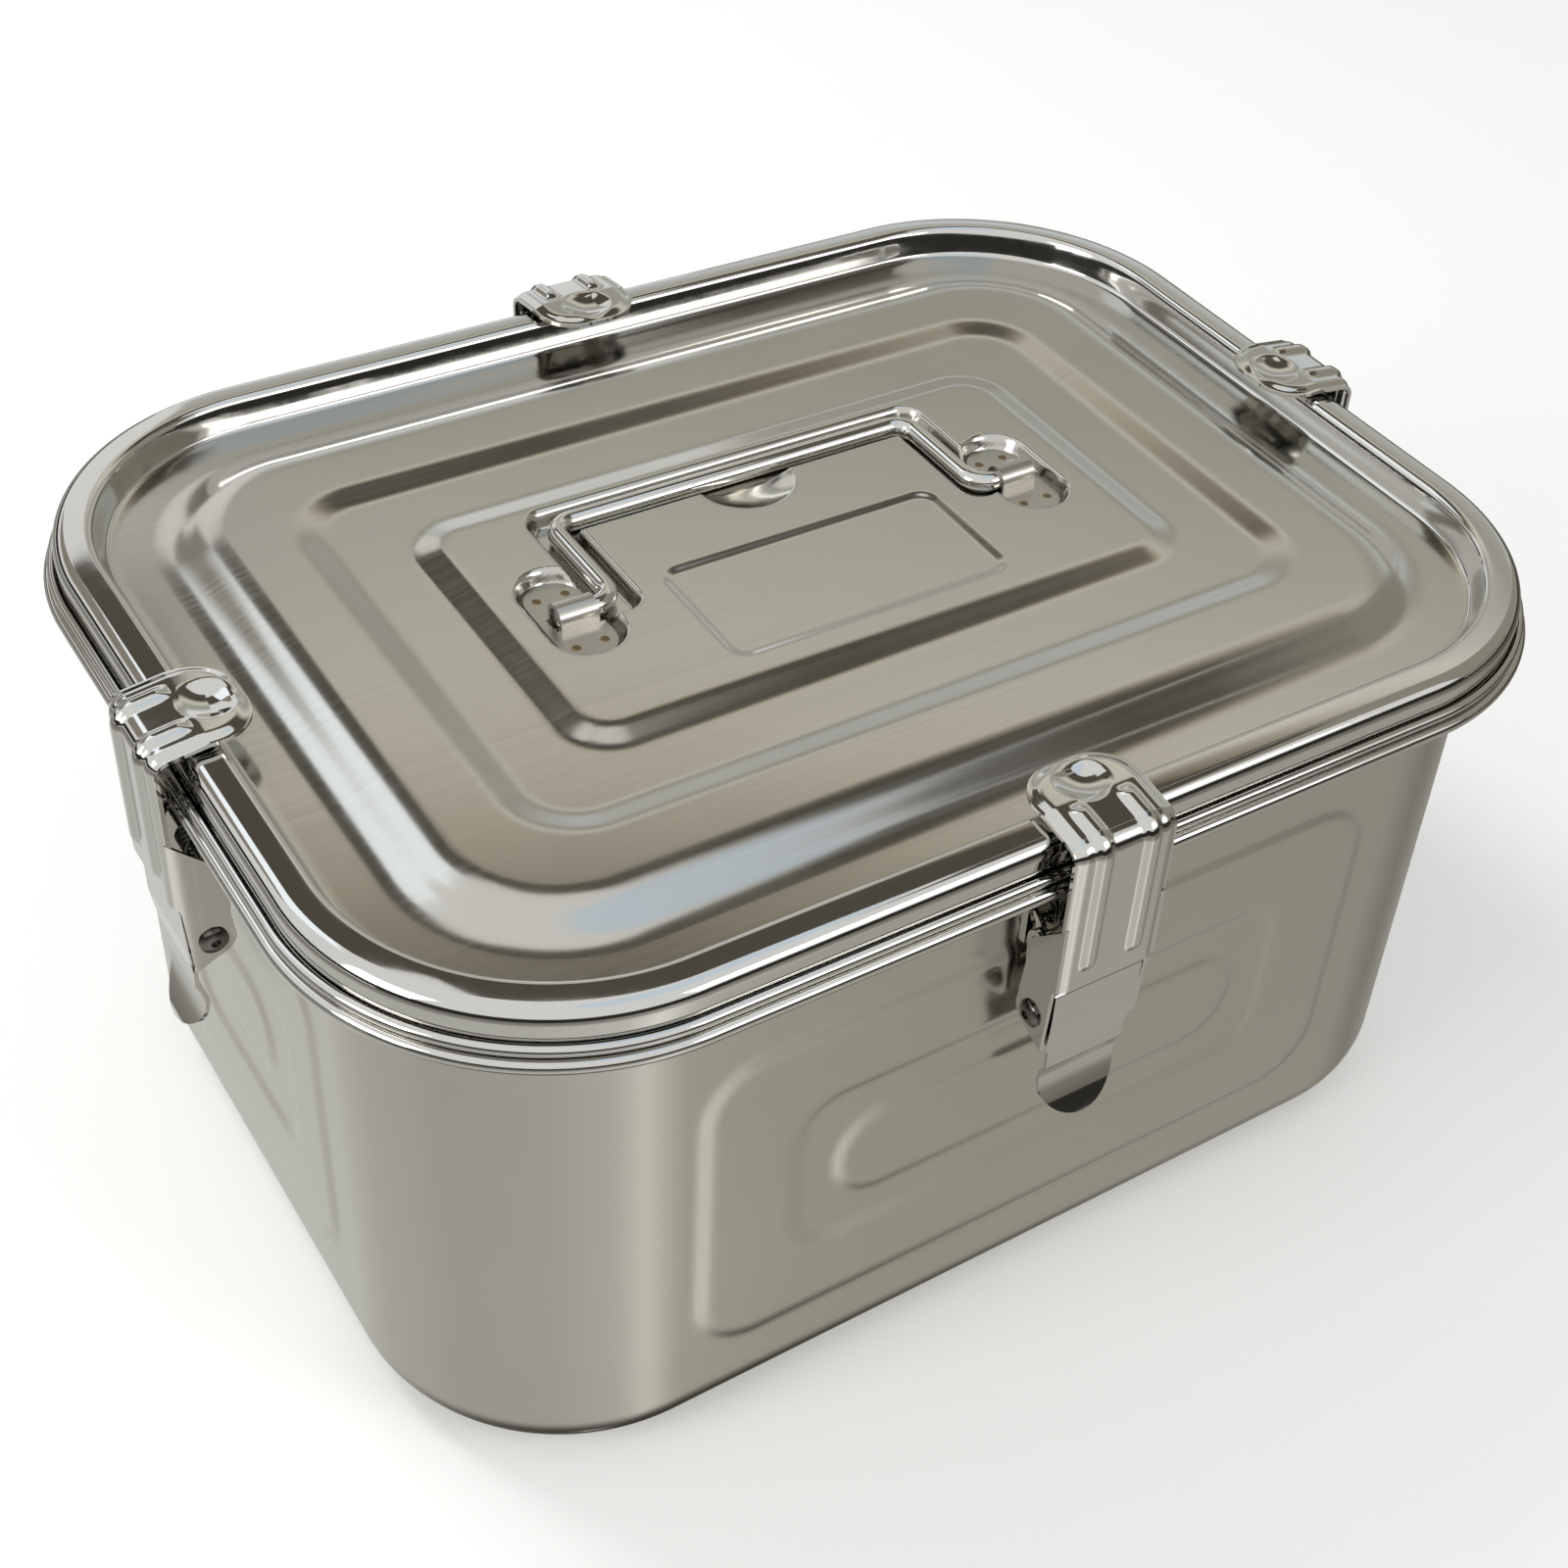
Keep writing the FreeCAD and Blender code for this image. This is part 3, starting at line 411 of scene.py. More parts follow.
# Handle, its brackets' weld marks, and the tube that the springs share
ROD_RADIUS = 2.5
ROD_Z = 152.8
ROD_SIDES = 28
HANDLE_HALF = 50.5
HANDLE_END = 65.5
HANDLE_REACH = 32.5
HANDLE_BEND = 5.5
BRACKET_X = 62.0
BRACKET_TOP = 151.0
BRACKET_EDGE = 0.25
WELD_PLACES = ((-3.6, -9.7), (3.6, -9.7), (-3.6, 9.7), (3.6, 9.7))
WELD_RINGS = ((1.15, -0.05), (1.0, 0.08), (0.6, 0.16), (0.2, 0.18))
WELD_SIDES = 20
END_ROUND = 0.25
UPRIGHT = 0.1


def tube(name, path, radius, sides):
    """A round rod along a path, with rounded ends."""
    path = np.asarray(path, float)
    tangents = tangents_of(path)
    side = np.cross(tangents[0], [0.0, 0.0, 1.0])
    if np.linalg.norm(side) < UPRIGHT:
        side = np.cross(tangents[0], [0.0, 1.0, 0.0])
    side /= np.linalg.norm(side)
    angles = np.linspace(0, 2 * math.pi, sides, endpoint=False)
    soft = END_ROUND * radius
    rings = []
    for i, (p, t) in enumerate(zip(path, tangents)):
        side = side - t * (side @ t)
        side /= np.linalg.norm(side)
        ring = np.outer(np.cos(angles), side) + np.outer(np.sin(angles), np.cross(t, side))
        if i == 0:
            rings += [p + ring * (radius - soft), p + t * soft + ring * radius]
        elif i == len(path) - 1:
            rings += [p - t * soft + ring * radius, p + ring * (radius - soft)]
        else:
            rings.append(p + ring * radius)
    verts = np.vstack(rings)
    faces = grid_faces(len(rings), sides, closed_columns=True)
    faces.append(tuple(range(sides))[::-1])
    last = (len(rings) - 1) * sides
    faces.append(tuple(range(last, last + sides)))
    return finish_mesh(name, verts, faces)


def make_handle():
    """The bent rod of the handle."""
    left = [(-HANDLE_END, 0.0), (-HANDLE_HALF, 0.0), (-HANDLE_HALF, HANDLE_REACH)]
    corners = left + [(-x, y) for x, y in left[::-1]]
    plan = dense(rounded_run(corners, [HANDLE_BEND] * 4, step=0.6), step=6.0)
    return tube("handle_rod", np.column_stack([plan, np.full(len(plan), ROD_Z)]), ROD_RADIUS, ROD_SIDES)


def make_welds(side):
    """The four spot welds of one handle bracket, as low domes."""
    middle = BRACKET_X if side == "right" else -BRACKET_X
    around = np.linspace(0, 2 * math.pi, WELD_SIDES, endpoint=False)
    pieces = []
    for x, y in WELD_PLACES:
        rows = []
        for radius, lift in WELD_RINGS:
            ring_x = middle + x + radius * np.cos(around)
            ring_y = y + radius * np.sin(around)
            rows.append(np.column_stack([ring_x, ring_y, np.full(WELD_SIDES, BRACKET_TOP + lift)]))
        faces = grid_faces(len(rows), WELD_SIDES, closed_columns=True)
        last = (len(rows) - 1) * WELD_SIDES
        faces.append(tuple(range(last, last + WELD_SIDES)))
        faces.append(tuple(range(WELD_SIDES))[::-1])
        pieces.append((np.vstack(rows), faces))
    verts, faces = joined(pieces)
    return finish_mesh(f"weld_marks_{side}", verts, faces)


# Latches, drawn with u outward, s across and z up, then turned to their side
LATCH_SHEET = 1.0


def to_side(side, points):
    """Carry latch points, given as u, s and z, to one side of the box."""
    points = np.asarray(points, float)
    angle = math.radians(SIDES[side])
    distance = HALF_WIDTH if side in ("front", "back") else HALF_LENGTH
    x = points[:, 0] + distance
    c, s = math.cos(angle), math.sin(angle)
    return np.column_stack([c * x - s * points[:, 1], s * x + c * points[:, 1], points[:, 2]])


def sheet_grid(path, widths, lift, columns):
    """A bent sheet: a face along the path with its own half width at each point, lifted by lift(u, z, s)."""
    normal = normals_of(path)
    share = np.linspace(-1.0, 1.0, columns)
    rows = []
    for (u, z), (nu, nz), width in zip(path, normal, widths):
        s = share * width
        up = lift(u, z, s)
        rows.append(np.column_stack([u + nu * up, s, z + nz * up]))
    return np.vstack(rows), grid_faces(len(rows), columns)


def plate_between(outline, low, high):
    """A flat plate across s, from an outline in u and z."""
    count = len(outline)
    outline = np.asarray(outline, float)
    verts = np.vstack(
        [
            np.column_stack([outline[:, 0], np.full(count, low), outline[:, 1]]),
            np.column_stack([outline[:, 0], np.full(count, high), outline[:, 1]]),
        ]
    )
    faces = [tuple(range(count))[::-1], tuple(range(count, 2 * count))]
    faces += [(k, (k + 1) % count, count + (k + 1) % count, count + k) for k in range(count)]
    return verts, faces


def side_plates(outline, half):
    """The two flat plates at the sides of a latch piece of the given half width."""
    inner = half - LATCH_SHEET
    return [plate_between(outline, inner, half), plate_between(outline, -half, -inner)]


def joined(pieces):
    """Several vertex and face lists as one."""
    verts = []
    faces = []
    for v, f in pieces:
        start = sum(len(x) for x in verts)
        verts.append(v)
        faces += [tuple(start + k for k in face) for face in f]
    return np.vstack(verts), faces


def outward(verts, faces):
    """The faces of a sheet, turned so that they look away from the box."""
    a, b, c = (verts[[f[k] for f in faces]] for k in range(3))
    total = np.cross(b - a, c - a).sum(axis=0)
    if total[0] + total[2] < 0:
        return [f[::-1] for f in faces]
    return faces


def closed_sheet(front, back, faces):
    """A thin solid between two sheets with the same faces."""
    count = len(front)
    edges = {}
    for face in faces:
        for a, b in zip(face, face[1:] + face[:1]):
            edges.setdefault((min(a, b), max(a, b)), []).append((a, b))
    closed = list(faces) + [tuple(count + k for k in face[::-1]) for face in faces]
    for uses in edges.values():
        if len(uses) == 1:
            a, b = uses[0]
            closed.append((b, a, count + a, count + b))
    return np.vstack([front, back]), closed


def thick(verts, faces, thickness):
    """Close a sheet into a thin solid, with its second side the given distance behind it."""
    faces = outward(verts, faces)
    mesh = bpy.data.meshes.new("sheet")
    mesh.from_pydata(verts.tolist(), [], [list(f) for f in faces])
    mesh.update()
    normals = np.array([v.normal for v in mesh.vertices])
    bpy.data.meshes.remove(mesh)
    return closed_sheet(verts, verts - normals * thickness, faces)


# Hook
RIB_S = 6.2
RIB_HALF = 2.6
RIB_FLAT = 0.25
RIB_HEIGHT = 1.1
RIB_LOW_Z = 122.5
RIB_LOW_FADE = 3.0
RIB_END_U = -8.5
RIB_END_FADE = 3.5
DISH_U = -13.8
DISH_RADIUS = 6.8
DISH_DEPTH = 1.6
DISH_POWER = 1.2
LIP_TOP = 160.75
LIP_LOW = 158.9
LIP_KNEE_U = -9.0
LIP_END_U = -21.5
LIP_CORNER = 10.0
LIP_SPAN = 30.0
HOOK_HALF = 13.3
EDGE_WIDTH = 3.2
EDGE_DROP = 0.9
HOOK_FACE = 4.0
HOOK_LOW_Z = 118.0
HOOK_BENDS = (4.5, 6.0)
HOOK_COLUMNS = 61
HOOK_SOFTNESS = 0.22
LUG_RADIUS = 5.2
EAR_TOP = [(3.4, 137.0), (-6.65, 126.8)]
EAR_TOE = [(1.2, 98.44), (2.2, 117.5), (3.4, 118.4)]


def hook_lift(u, z, s):
    """Ribs that run up the face and over the fold, the dish in the lip and the rolled edge all round."""
    along = min(smooth((z - RIB_LOW_Z) / RIB_LOW_FADE), smooth((u - RIB_END_U) / RIB_END_FADE))
    across = smooth(1.0 - (np.abs(np.abs(s) - RIB_S) / RIB_HALF - RIB_FLAT) / (1.0 - RIB_FLAT))
    rib = RIB_HEIGHT * along * across
    reach = np.hypot(u - DISH_U, s) / DISH_RADIUS
    bowl = np.maximum(1.0 - reach**2, 0.0)
    edge = rounded_distance(u - LIP_END_U - LIP_SPAN, s, LIP_SPAN, HOOK_HALF, LIP_CORNER)
    roll = EDGE_DROP * smooth(1.0 + edge / EDGE_WIDTH)
    return rib - DISH_DEPTH * bowl**DISH_POWER * (z > LIP_LOW) - roll


def make_hook(side):
    """The hook with its ribs, dished lip and two ears."""
    corners = [(HOOK_FACE, HOOK_LOW_Z), (HOOK_FACE, LIP_LOW), (LIP_KNEE_U, LIP_TOP), (LIP_END_U, LIP_TOP)]
    path = dense(rounded_run(corners, HOOK_BENDS, step=0.3), step=0.5)[::-1]
    widths = []
    for u, _ in path:
        into = max(0.0, LIP_END_U + LIP_CORNER - u)
        narrow = LIP_CORNER - math.sqrt(max(LIP_CORNER**2 - into**2, 0.0))
        widths.append(HOOK_HALF - narrow)
    face = thick(*sheet_grid(path, widths, hook_lift, HOOK_COLUMNS), LATCH_SHEET)
    ear = np.vstack([EAR_TOP, arc(HOOK_PIVOT, LUG_RADIUS, 185, 262, 12), EAR_TOE])
    verts, faces = joined([face] + side_plates(ear, HOOK_HALF))
    obj = finish_mesh(f"hook_{side}", to_side(side, verts), faces)
    soften(obj, HOOK_SOFTNESS)
    return obj


# Lever
LEVER_PROFILE = ((2.2, 130.5), (2.2, 104.0), (1.2, 95.7), (1.7, 87.0), (4.4, 75.0))
LEVER_BENDS = (12.0, 4.0, 16.0)
LEVER_HALF = 11.8
LEVER_COLUMNS = 41
LEVER_SOFTNESS = 0.2
TAB_HALF = 10.5
TAB_TOP_Z = 95.7
TAB_BLEND = 4.5
TAB_END_Z = 75.0
TAB_LEAST = 0.35
PIN_EYE = 3.2
RIVET_EYE = 4.4
FLANGE_TOP = [(1.7, 130.4)]
FLANGE_TOE = [(0.9, 99.9), (1.7, 104.0)]
THUMB_Z = 84.5
THUMB_RISE = 7.2
THUMB_FALL = 9.5
THUMB_DEPTH = 2.4
SEAM_Z = 115.9
SEAM_HALF = 0.55
SEAM_DEPTH = 0.8


def thumb_lift(z, s):
    """The hollow of the lever's thumb tab, as a lift of its face."""
    reach = (z - THUMB_Z) / (THUMB_RISE if z > THUMB_Z else THUMB_FALL)
    return np.full_like(s, -THUMB_DEPTH * max(1.0 - reach**2, 0.0))


def lever_lift(u, z, s):
    """The lever's outer face: the hollow and the slit under the hook's edge."""
    return thumb_lift(z, s) - SEAM_DEPTH * smooth(1.0 - abs(z - SEAM_Z) / SEAM_HALF)


def lever_back(u, z, s):
    """The lever's inner face."""
    return thumb_lift(z, s) - LATCH_SHEET


def make_lever(side):
    """The channel lever with its flared, hollow thumb tab."""
    path = dense(rounded_run(LEVER_PROFILE, LEVER_BENDS, step=0.4), step=0.3)
    widths = []
    for _, z in path:
        wide = TAB_HALF + (LEVER_HALF - TAB_HALF) * smooth((z - TAB_TOP_Z) / TAB_BLEND)
        into = max(0.0, TAB_END_Z + TAB_HALF - z)
        narrow = TAB_HALF - math.sqrt(max(TAB_HALF**2 - into**2, 0.0))
        widths.append(max(wide - narrow, TAB_LEAST))
    front, faces = sheet_grid(path, widths, lever_lift, LEVER_COLUMNS)
    back, _ = sheet_grid(path, widths, lever_back, LEVER_COLUMNS)
    face = closed_sheet(front, back, outward(front, faces))
    top = arc(BASE_PIVOT, PIN_EYE, 75, 185, 10)
    low = arc(HOOK_PIVOT, RIVET_EYE, 185, 255, 10)
    flange = np.vstack([FLANGE_TOP, top, low, FLANGE_TOE])
    verts, faces = joined([face] + side_plates(flange, LEVER_HALF))
    obj = finish_mesh(f"lever_{side}", to_side(side, verts), faces)
    soften(obj, LEVER_SOFTNESS)
    return obj


# Spring
WIRE_RADIUS = 0.5
WIRE_SIDES = 12
COIL_RADIUS = 3.147
COIL_FIRST = math.pi
COIL_LAST = math.radians(233.13) + 8 * math.pi
COIL_RISE = 1.55 / (2 * math.pi)
COIL_POINTS = 150
BRACKET_LEG = 7.0
LEVER_INSIDE_U = 1.2
LEVER_GAP = 0.3


def coil_heading(angle):
    """The way in which the coil runs on at an angle."""
    way = np.array([-COIL_RADIUS * math.sin(angle), COIL_RISE, COIL_RADIUS * math.cos(angle)])
    return way / np.linalg.norm(way)


def make_spring(side):
    """The torsion spring round the fixed pin: a leg on the bracket, the turns and a leg behind the lever."""
    angles = np.linspace(COIL_FIRST, COIL_LAST, COIL_POINTS)
    across = COIL_RISE * (angles - (COIL_FIRST + COIL_LAST) / 2)
    coil = np.column_stack([COIL_RADIUS * np.cos(angles), across, COIL_RADIUS * np.sin(angles)])
    start = coil[0] - coil_heading(COIL_FIRST) * BRACKET_LEG
    way = coil_heading(COIL_LAST)
    reach = (LEVER_INSIDE_U - BASE_PIVOT[0] - LEVER_GAP - WIRE_RADIUS - coil[-1][0]) / way[0]
    path = np.vstack([[start], coil, [coil[-1] + way * reach]])
    path = path + np.array([BASE_PIVOT[0], 0.0, BASE_PIVOT[1]])
    return tube(f"spring_{side}", to_side(side, path), WIRE_RADIUS, WIRE_SIDES)


# Materials
SMEAR_SCALE = 22.0
SMEAR_SHADE = 0.92
BUMP_DISTANCE = 0.00002
LEAST_ROUGHNESS = 0.02
NOISE_LOW = 0.3
NOISE_HIGH = 0.7
RUBBER_SCALE = 90.0
RUBBER_SHADE = 0.93
RUBBER_ROUGHNESS = 0.55


def new_material(name):
    """A node material and its main shader."""
    material = bpy.data.materials.new(name)
    material.use_nodes = True
    return material, material.node_tree.nodes["Principled BSDF"]


def steel(name, colour, roughness, brush, bump=0.0, spread=0.06, anisotropy=0.0):
    """Stainless steel with fine brush lines along one direction, small smears and uneven polish."""
    material, shader = new_material(name)
    tree = material.node_tree
    coords = tree.nodes.new("ShaderNodeTexCoord")
    mapping = tree.nodes.new("ShaderNodeMapping")
    mapping.inputs["Scale"].default_value = brush
    lines = tree.nodes.new("ShaderNodeTexNoise")
    lines.inputs["Scale"].default_value = 1.0
    lines.inputs["Detail"].default_value = 3.0
    smears = tree.nodes.new("ShaderNodeTexNoise")
    smears.inputs["Scale"].default_value = SMEAR_SCALE
    smears.inputs["Detail"].default_value = 4.0
    tree.links.new(coords.outputs["Object"], mapping.inputs["Vector"])
    tree.links.new(mapping.outputs["Vector"], lines.inputs["Vector"])
    tree.links.new(coords.outputs["Object"], smears.inputs["Vector"])
    span = tree.nodes.new("ShaderNodeMapRange")
    span.inputs["From Min"].default_value = NOISE_LOW
    span.inputs["From Max"].default_value = NOISE_HIGH
    span.inputs["To Min"].default_value = max(roughness - spread, LEAST_ROUGHNESS)
    span.inputs["To Max"].default_value = roughness + spread
    mix = tree.nodes.new("ShaderNodeMath")
    mix.operation = "MULTIPLY_ADD"
    mix.inputs[1].default_value = 0.5
    half = tree.nodes.new("ShaderNodeMath")
    half.operation = "MULTIPLY"
    half.inputs[1].default_value = 0.5
    tree.links.new(lines.outputs["Fac"], mix.inputs[0])
    tree.links.new(smears.outputs["Fac"], half.inputs[0])
    tree.links.new(half.outputs["Value"], mix.inputs[2])
    tree.links.new(mix.outputs["Value"], span.inputs["Value"])
    tree.links.new(span.outputs["Result"], shader.inputs["Roughness"])
    tint = tree.nodes.new("ShaderNodeMix")
    tint.data_type = "RGBA"
    dark = [c * SMEAR_SHADE for c in colour]
    tint.inputs["A"].default_value = (*dark, 1.0)
    tint.inputs["B"].default_value = (*colour, 1.0)
    tree.links.new(smears.outputs["Fac"], tint.inputs["Factor"])
    tree.links.new(tint.outputs["Result"], shader.inputs["Base Color"])
    if bump > 0:
        bumps = tree.nodes.new("ShaderNodeBump")
        bumps.inputs["Strength"].default_value = bump
        bumps.inputs["Distance"].default_value = BUMP_DISTANCE
        tree.links.new(lines.outputs["Fac"], bumps.inputs["Height"])
        tree.links.new(bumps.outputs["Normal"], shader.inputs["Normal"])
    shader.inputs["Metallic"].default_value = 1.0
    if anisotropy > 0:
        shader.inputs["Anisotropic"].default_value = anisotropy
        tangent = tree.nodes.new("ShaderNodeTangent")
        tangent.direction_type = "RADIAL"
        tangent.axis = "Z"
        tree.links.new(tangent.outputs["Tangent"], shader.inputs["Tangent"])
    return material


def rubber(name, colour):
    """Soft silicone with a faint sheen."""
    material, shader = new_material(name)
    tree = material.node_tree
    noise = tree.nodes.new("ShaderNodeTexNoise")
    noise.inputs["Scale"].default_value = RUBBER_SCALE
    coords = tree.nodes.new("ShaderNodeTexCoord")
    tree.links.new(coords.outputs["Object"], noise.inputs["Vector"])
    tint = tree.nodes.new("ShaderNodeMix")
    tint.data_type = "RGBA"
    dark = [c * RUBBER_SHADE for c in colour]
    tint.inputs["A"].default_value = (*dark, 1.0)
    tint.inputs["B"].default_value = (*colour, 1.0)
    tree.links.new(noise.outputs["Fac"], tint.inputs["Factor"])
    tree.links.new(tint.outputs["Result"], shader.inputs["Base Color"])
    shader.inputs["Roughness"].default_value = RUBBER_ROUGHNESS
    return material


def paint(obj, material):
    """One material on the whole piece."""
    obj.data.materials.clear()
    obj.data.materials.append(material)


def brighten(obj, material, inner_u, low):
    """A second, brighter finish on the rolled edge: what lies outside inner_u and above a height."""
    obj.data.materials.append(material)
    for polygon in obj.data.polygons:
        x, y, z = Vector(polygon.center) / MM
        outside = rounded_distance(x, y, HALF_LENGTH, HALF_WIDTH, RIM_CORNER) > inner_u
        if outside and z > low:
            polygon.material_index = 1


SATIN = steel(
    "satin_steel",
    colour=(0.53, 0.515, 0.465),
    roughness=0.19,
    brush=(3.0, 3.0, 1500.0),
    bump=0.015,
    spread=0.03,
    anisotropy=0.4,
)
POLISHED = steel(
    "polished_steel",
    colour=(0.55, 0.535, 0.49),
    roughness=0.16,
    brush=(8.0, 900.0, 8.0),
    bump=0.03,
    spread=0.05,
)
BRIGHT = steel("bright_steel", colour=(0.62, 0.61, 0.58), roughness=0.07, brush=(300.0,) * 3, spread=0.03)
PLATE = steel("plate_steel", colour=(0.50, 0.48, 0.44), roughness=0.30, brush=(60.0,) * 3, bump=0.02)
RIVET = steel("dark_rivet", colour=(0.20, 0.18, 0.165), roughness=0.22, brush=(400.0,) * 3)
SPRING = steel("spring_wire", colour=(0.45, 0.43, 0.40), roughness=0.25, brush=(400.0,) * 3)
WELD = steel("weld_mark", colour=(0.24, 0.17, 0.09), roughness=0.35, brush=(700.0,) * 3)
SILICONE = rubber("silicone", (0.80, 0.80, 0.78))


# Pieces
BRIGHT_FROM_Z = 140.0
BOX_BRIGHT_U = WALL_U + 2.0
LID_BRIGHT_U = -15.0


def dress(obj, material, body, slot, *nodes):
    """Give a piece its material and its body, and hide the solids that it stands for; the slot is not used.
    """
    paint(obj, material)
    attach(obj, body)
    if nodes:
        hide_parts(*nodes)


BOX = make_box()
dress(BOX, SATIN, "box", "satin_steel", "box_body")
brighten(BOX, BRIGHT, BOX_BRIGHT_U, BRIGHT_FROM_Z)
LID = make_lid()
dress(LID, POLISHED, "lid", "polished_steel", "lid_shell")
brighten(LID, BRIGHT, LID_BRIGHT_U, BRIGHT_FROM_Z)
dress(make_gasket(), SILICONE, "lid", "silicone", "lid_gasket")
dress(make_handle(), BRIGHT, "handle", "polished_steel", "carry_handle")
for SIDE in SIDES:
    dress(make_hook(SIDE), BRIGHT, f"hook_{SIDE}", "polished_steel", f"latch_{SIDE}_hook")
    dress(make_lever(SIDE), BRIGHT, f"lever_{SIDE}", "polished_steel", f"latch_{SIDE}_lever")
    dress(make_spring(SIDE), SPRING, "box", "spring_steel", f"latch_{SIDE}_spring")
    for NODE, MATERIAL in (("base", BRIGHT), ("base_pin", BRIGHT), ("hook_pin", RIVET)):
        paint(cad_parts[f"latch_{SIDE}_{NODE}"], MATERIAL)
for SIDE in ("left", "right"):
    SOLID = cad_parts[f"handle_bracket_{SIDE}"]
    paint(SOLID, PLATE)
    soften(SOLID, BRACKET_EDGE)
    dress(make_welds(SIDE), WELD, "lid", "polished_steel")


# Stage and light, in metres
FLOOR_SIZE = 40.0
FLOOR_DROP = 0.0005
FLOOR_SHADE = (0.92, 0.92, 0.91, 1.0)
FLOOR_ROUGHNESS = 0.8
FLOOR_SPECULAR = 0.1
FLOOR_LIFT = 0.16
FILL_LEVEL = 0.55
MIDDLE = (0.0, 0.0, 0.1)
SURROUND = 1.6
PATCH_GRID = (48, 10)


def seen_rays(tree):
    """1 for rays that the camera, a reflection or a clear piece sees."""
    path = tree.nodes.new("ShaderNodeLightPath")
    total = path.outputs["Is Camera Ray"]
    for kind in ("Is Glossy Ray", "Is Transmission Ray"):
        either = tree.nodes.new("ShaderNodeMath")
        either.operation = "MAXIMUM"
        tree.links.new(total, either.inputs[0])
        tree.links.new(path.outputs[kind], either.inputs[1])
        total = either.outputs["Value"]
    return total


def make_stage():
    """A pale floor that fades into a white surround."""
    bpy.ops.mesh.primitive_plane_add(size=FLOOR_SIZE, location=(0.0, 0.0, -FLOOR_DROP))
    floor = bpy.context.object
    floor.name = "floor"
    material, shader = new_material("pale_floor")
    shader.inputs["Base Color"].default_value = FLOOR_SHADE
    shader.inputs["Roughness"].default_value = FLOOR_ROUGHNESS
    shader.inputs["Specular IOR Level"].default_value = FLOOR_SPECULAR
    shader.inputs["Emission Color"].default_value = (1.0, 1.0, 1.0, 1.0)
    tree = material.node_tree
    lift = tree.nodes.new("ShaderNodeMath")
    lift.operation = "MULTIPLY"
    lift.inputs[1].default_value = FLOOR_LIFT
    tree.links.new(seen_rays(tree), lift.inputs[0])
    tree.links.new(lift.outputs["Value"], shader.inputs["Emission Strength"])
    floor.data.materials.append(material)
    floor.visible_glossy = False

    world = bpy.data.worlds.new("surround")
    bpy.context.scene.world = world
    world.use_nodes = True
    tree = world.node_tree
    background = tree.nodes["Background"]
    level = tree.nodes.new("ShaderNodeMapRange")
    level.inputs["To Min"].default_value = FILL_LEVEL
    level.inputs["To Max"].default_value = 1.0
    tree.links.new(seen_rays(tree), level.inputs["Value"])
    background.inputs["Color"].default_value = (1.0, 1.0, 1.0, 1.0)
    tree.links.new(level.outputs["Result"], background.inputs["Strength"])


def lamp(name, place, size, power):
    """A soft rectangular lamp aimed at the middle of the box."""
    data = bpy.data.lights.new(name, "AREA")
    data.shape = "RECTANGLE"
    data.size, data.size_y = size
    data.energy = power
    obj = bpy.data.objects.new(name, data)
    obj.location = place
    obj.rotation_euler = (Vector(MIDDLE) - Vector(place)).to_track_quat("-Z", "Y").to_euler()
    bpy.context.scene.collection.objects.link(obj)
    return obj


def glow_material(name, shades):
    """A glow that reflections see as it is; its shade goes through the given ones from low to high."""
    material = bpy.data.materials.new(name)
    material.use_nodes = True
    tree = material.node_tree
    tree.nodes.remove(tree.nodes["Principled BSDF"])
    glow = tree.nodes.new("ShaderNodeEmission")
    tree.links.new(glow.outputs["Emission"], tree.nodes["Material Output"].inputs["Surface"])
    glow.inputs["Color"].default_value = (*shades[0][1], 1.0)
    if len(shades) == 1:
        return material
    coords = tree.nodes.new("ShaderNodeTexCoord")
    split = tree.nodes.new("ShaderNodeSeparateXYZ")
    shading = ramp_node(tree, shades)
    tree.links.new(coords.outputs["Generated"], split.inputs["Vector"])
    tree.links.new(split.outputs["Z"], shading.inputs["Fac"])
    tree.links.new(shading.outputs["Color"], glow.inputs["Color"])
    return material


def only_reflected(name, verts, faces, shades):
    """A stage piece that only reflections see."""
    mesh = bpy.data.meshes.new(name)
    mesh.from_pydata(verts, [], faces)
    obj = bpy.data.objects.new(name, mesh)
    bpy.context.scene.collection.objects.link(obj)
    mesh.materials.append(glow_material(name, shades))
    obj.visible_camera = False
    obj.visible_shadow = False
    obj.visible_diffuse = False
    obj.visible_transmission = False


def sky_patch(name, azimuths, elevations, *shades):
    """A patch of the surround between two azimuths and two elevations in degrees, shaded from low to high."""
    across, up = PATCH_GRID
    verts = []
    for e in np.radians(np.linspace(*elevations, up + 1)):
        for a in np.radians(np.linspace(*azimuths, across + 1)):
            way = Vector((math.sin(a) * math.cos(e), math.cos(a) * math.cos(e), math.sin(e)))
            verts.append(Vector(MIDDLE) + way * SURROUND)
    only_reflected(name, verts, grid_faces(up + 1, across + 1), shades)


def ramp_node(tree, shades):
    """A colour ramp through the given places and shades."""
    node = tree.nodes.new("ShaderNodeValToRGB")
    stops = node.color_ramp.elements
    while len(stops) < len(shades):
        stops.new(0.5)
    for stop, (place, shade) in zip(stops, shades):
        stop.position = place
        stop.color = (*shade, 1.0)
    return node


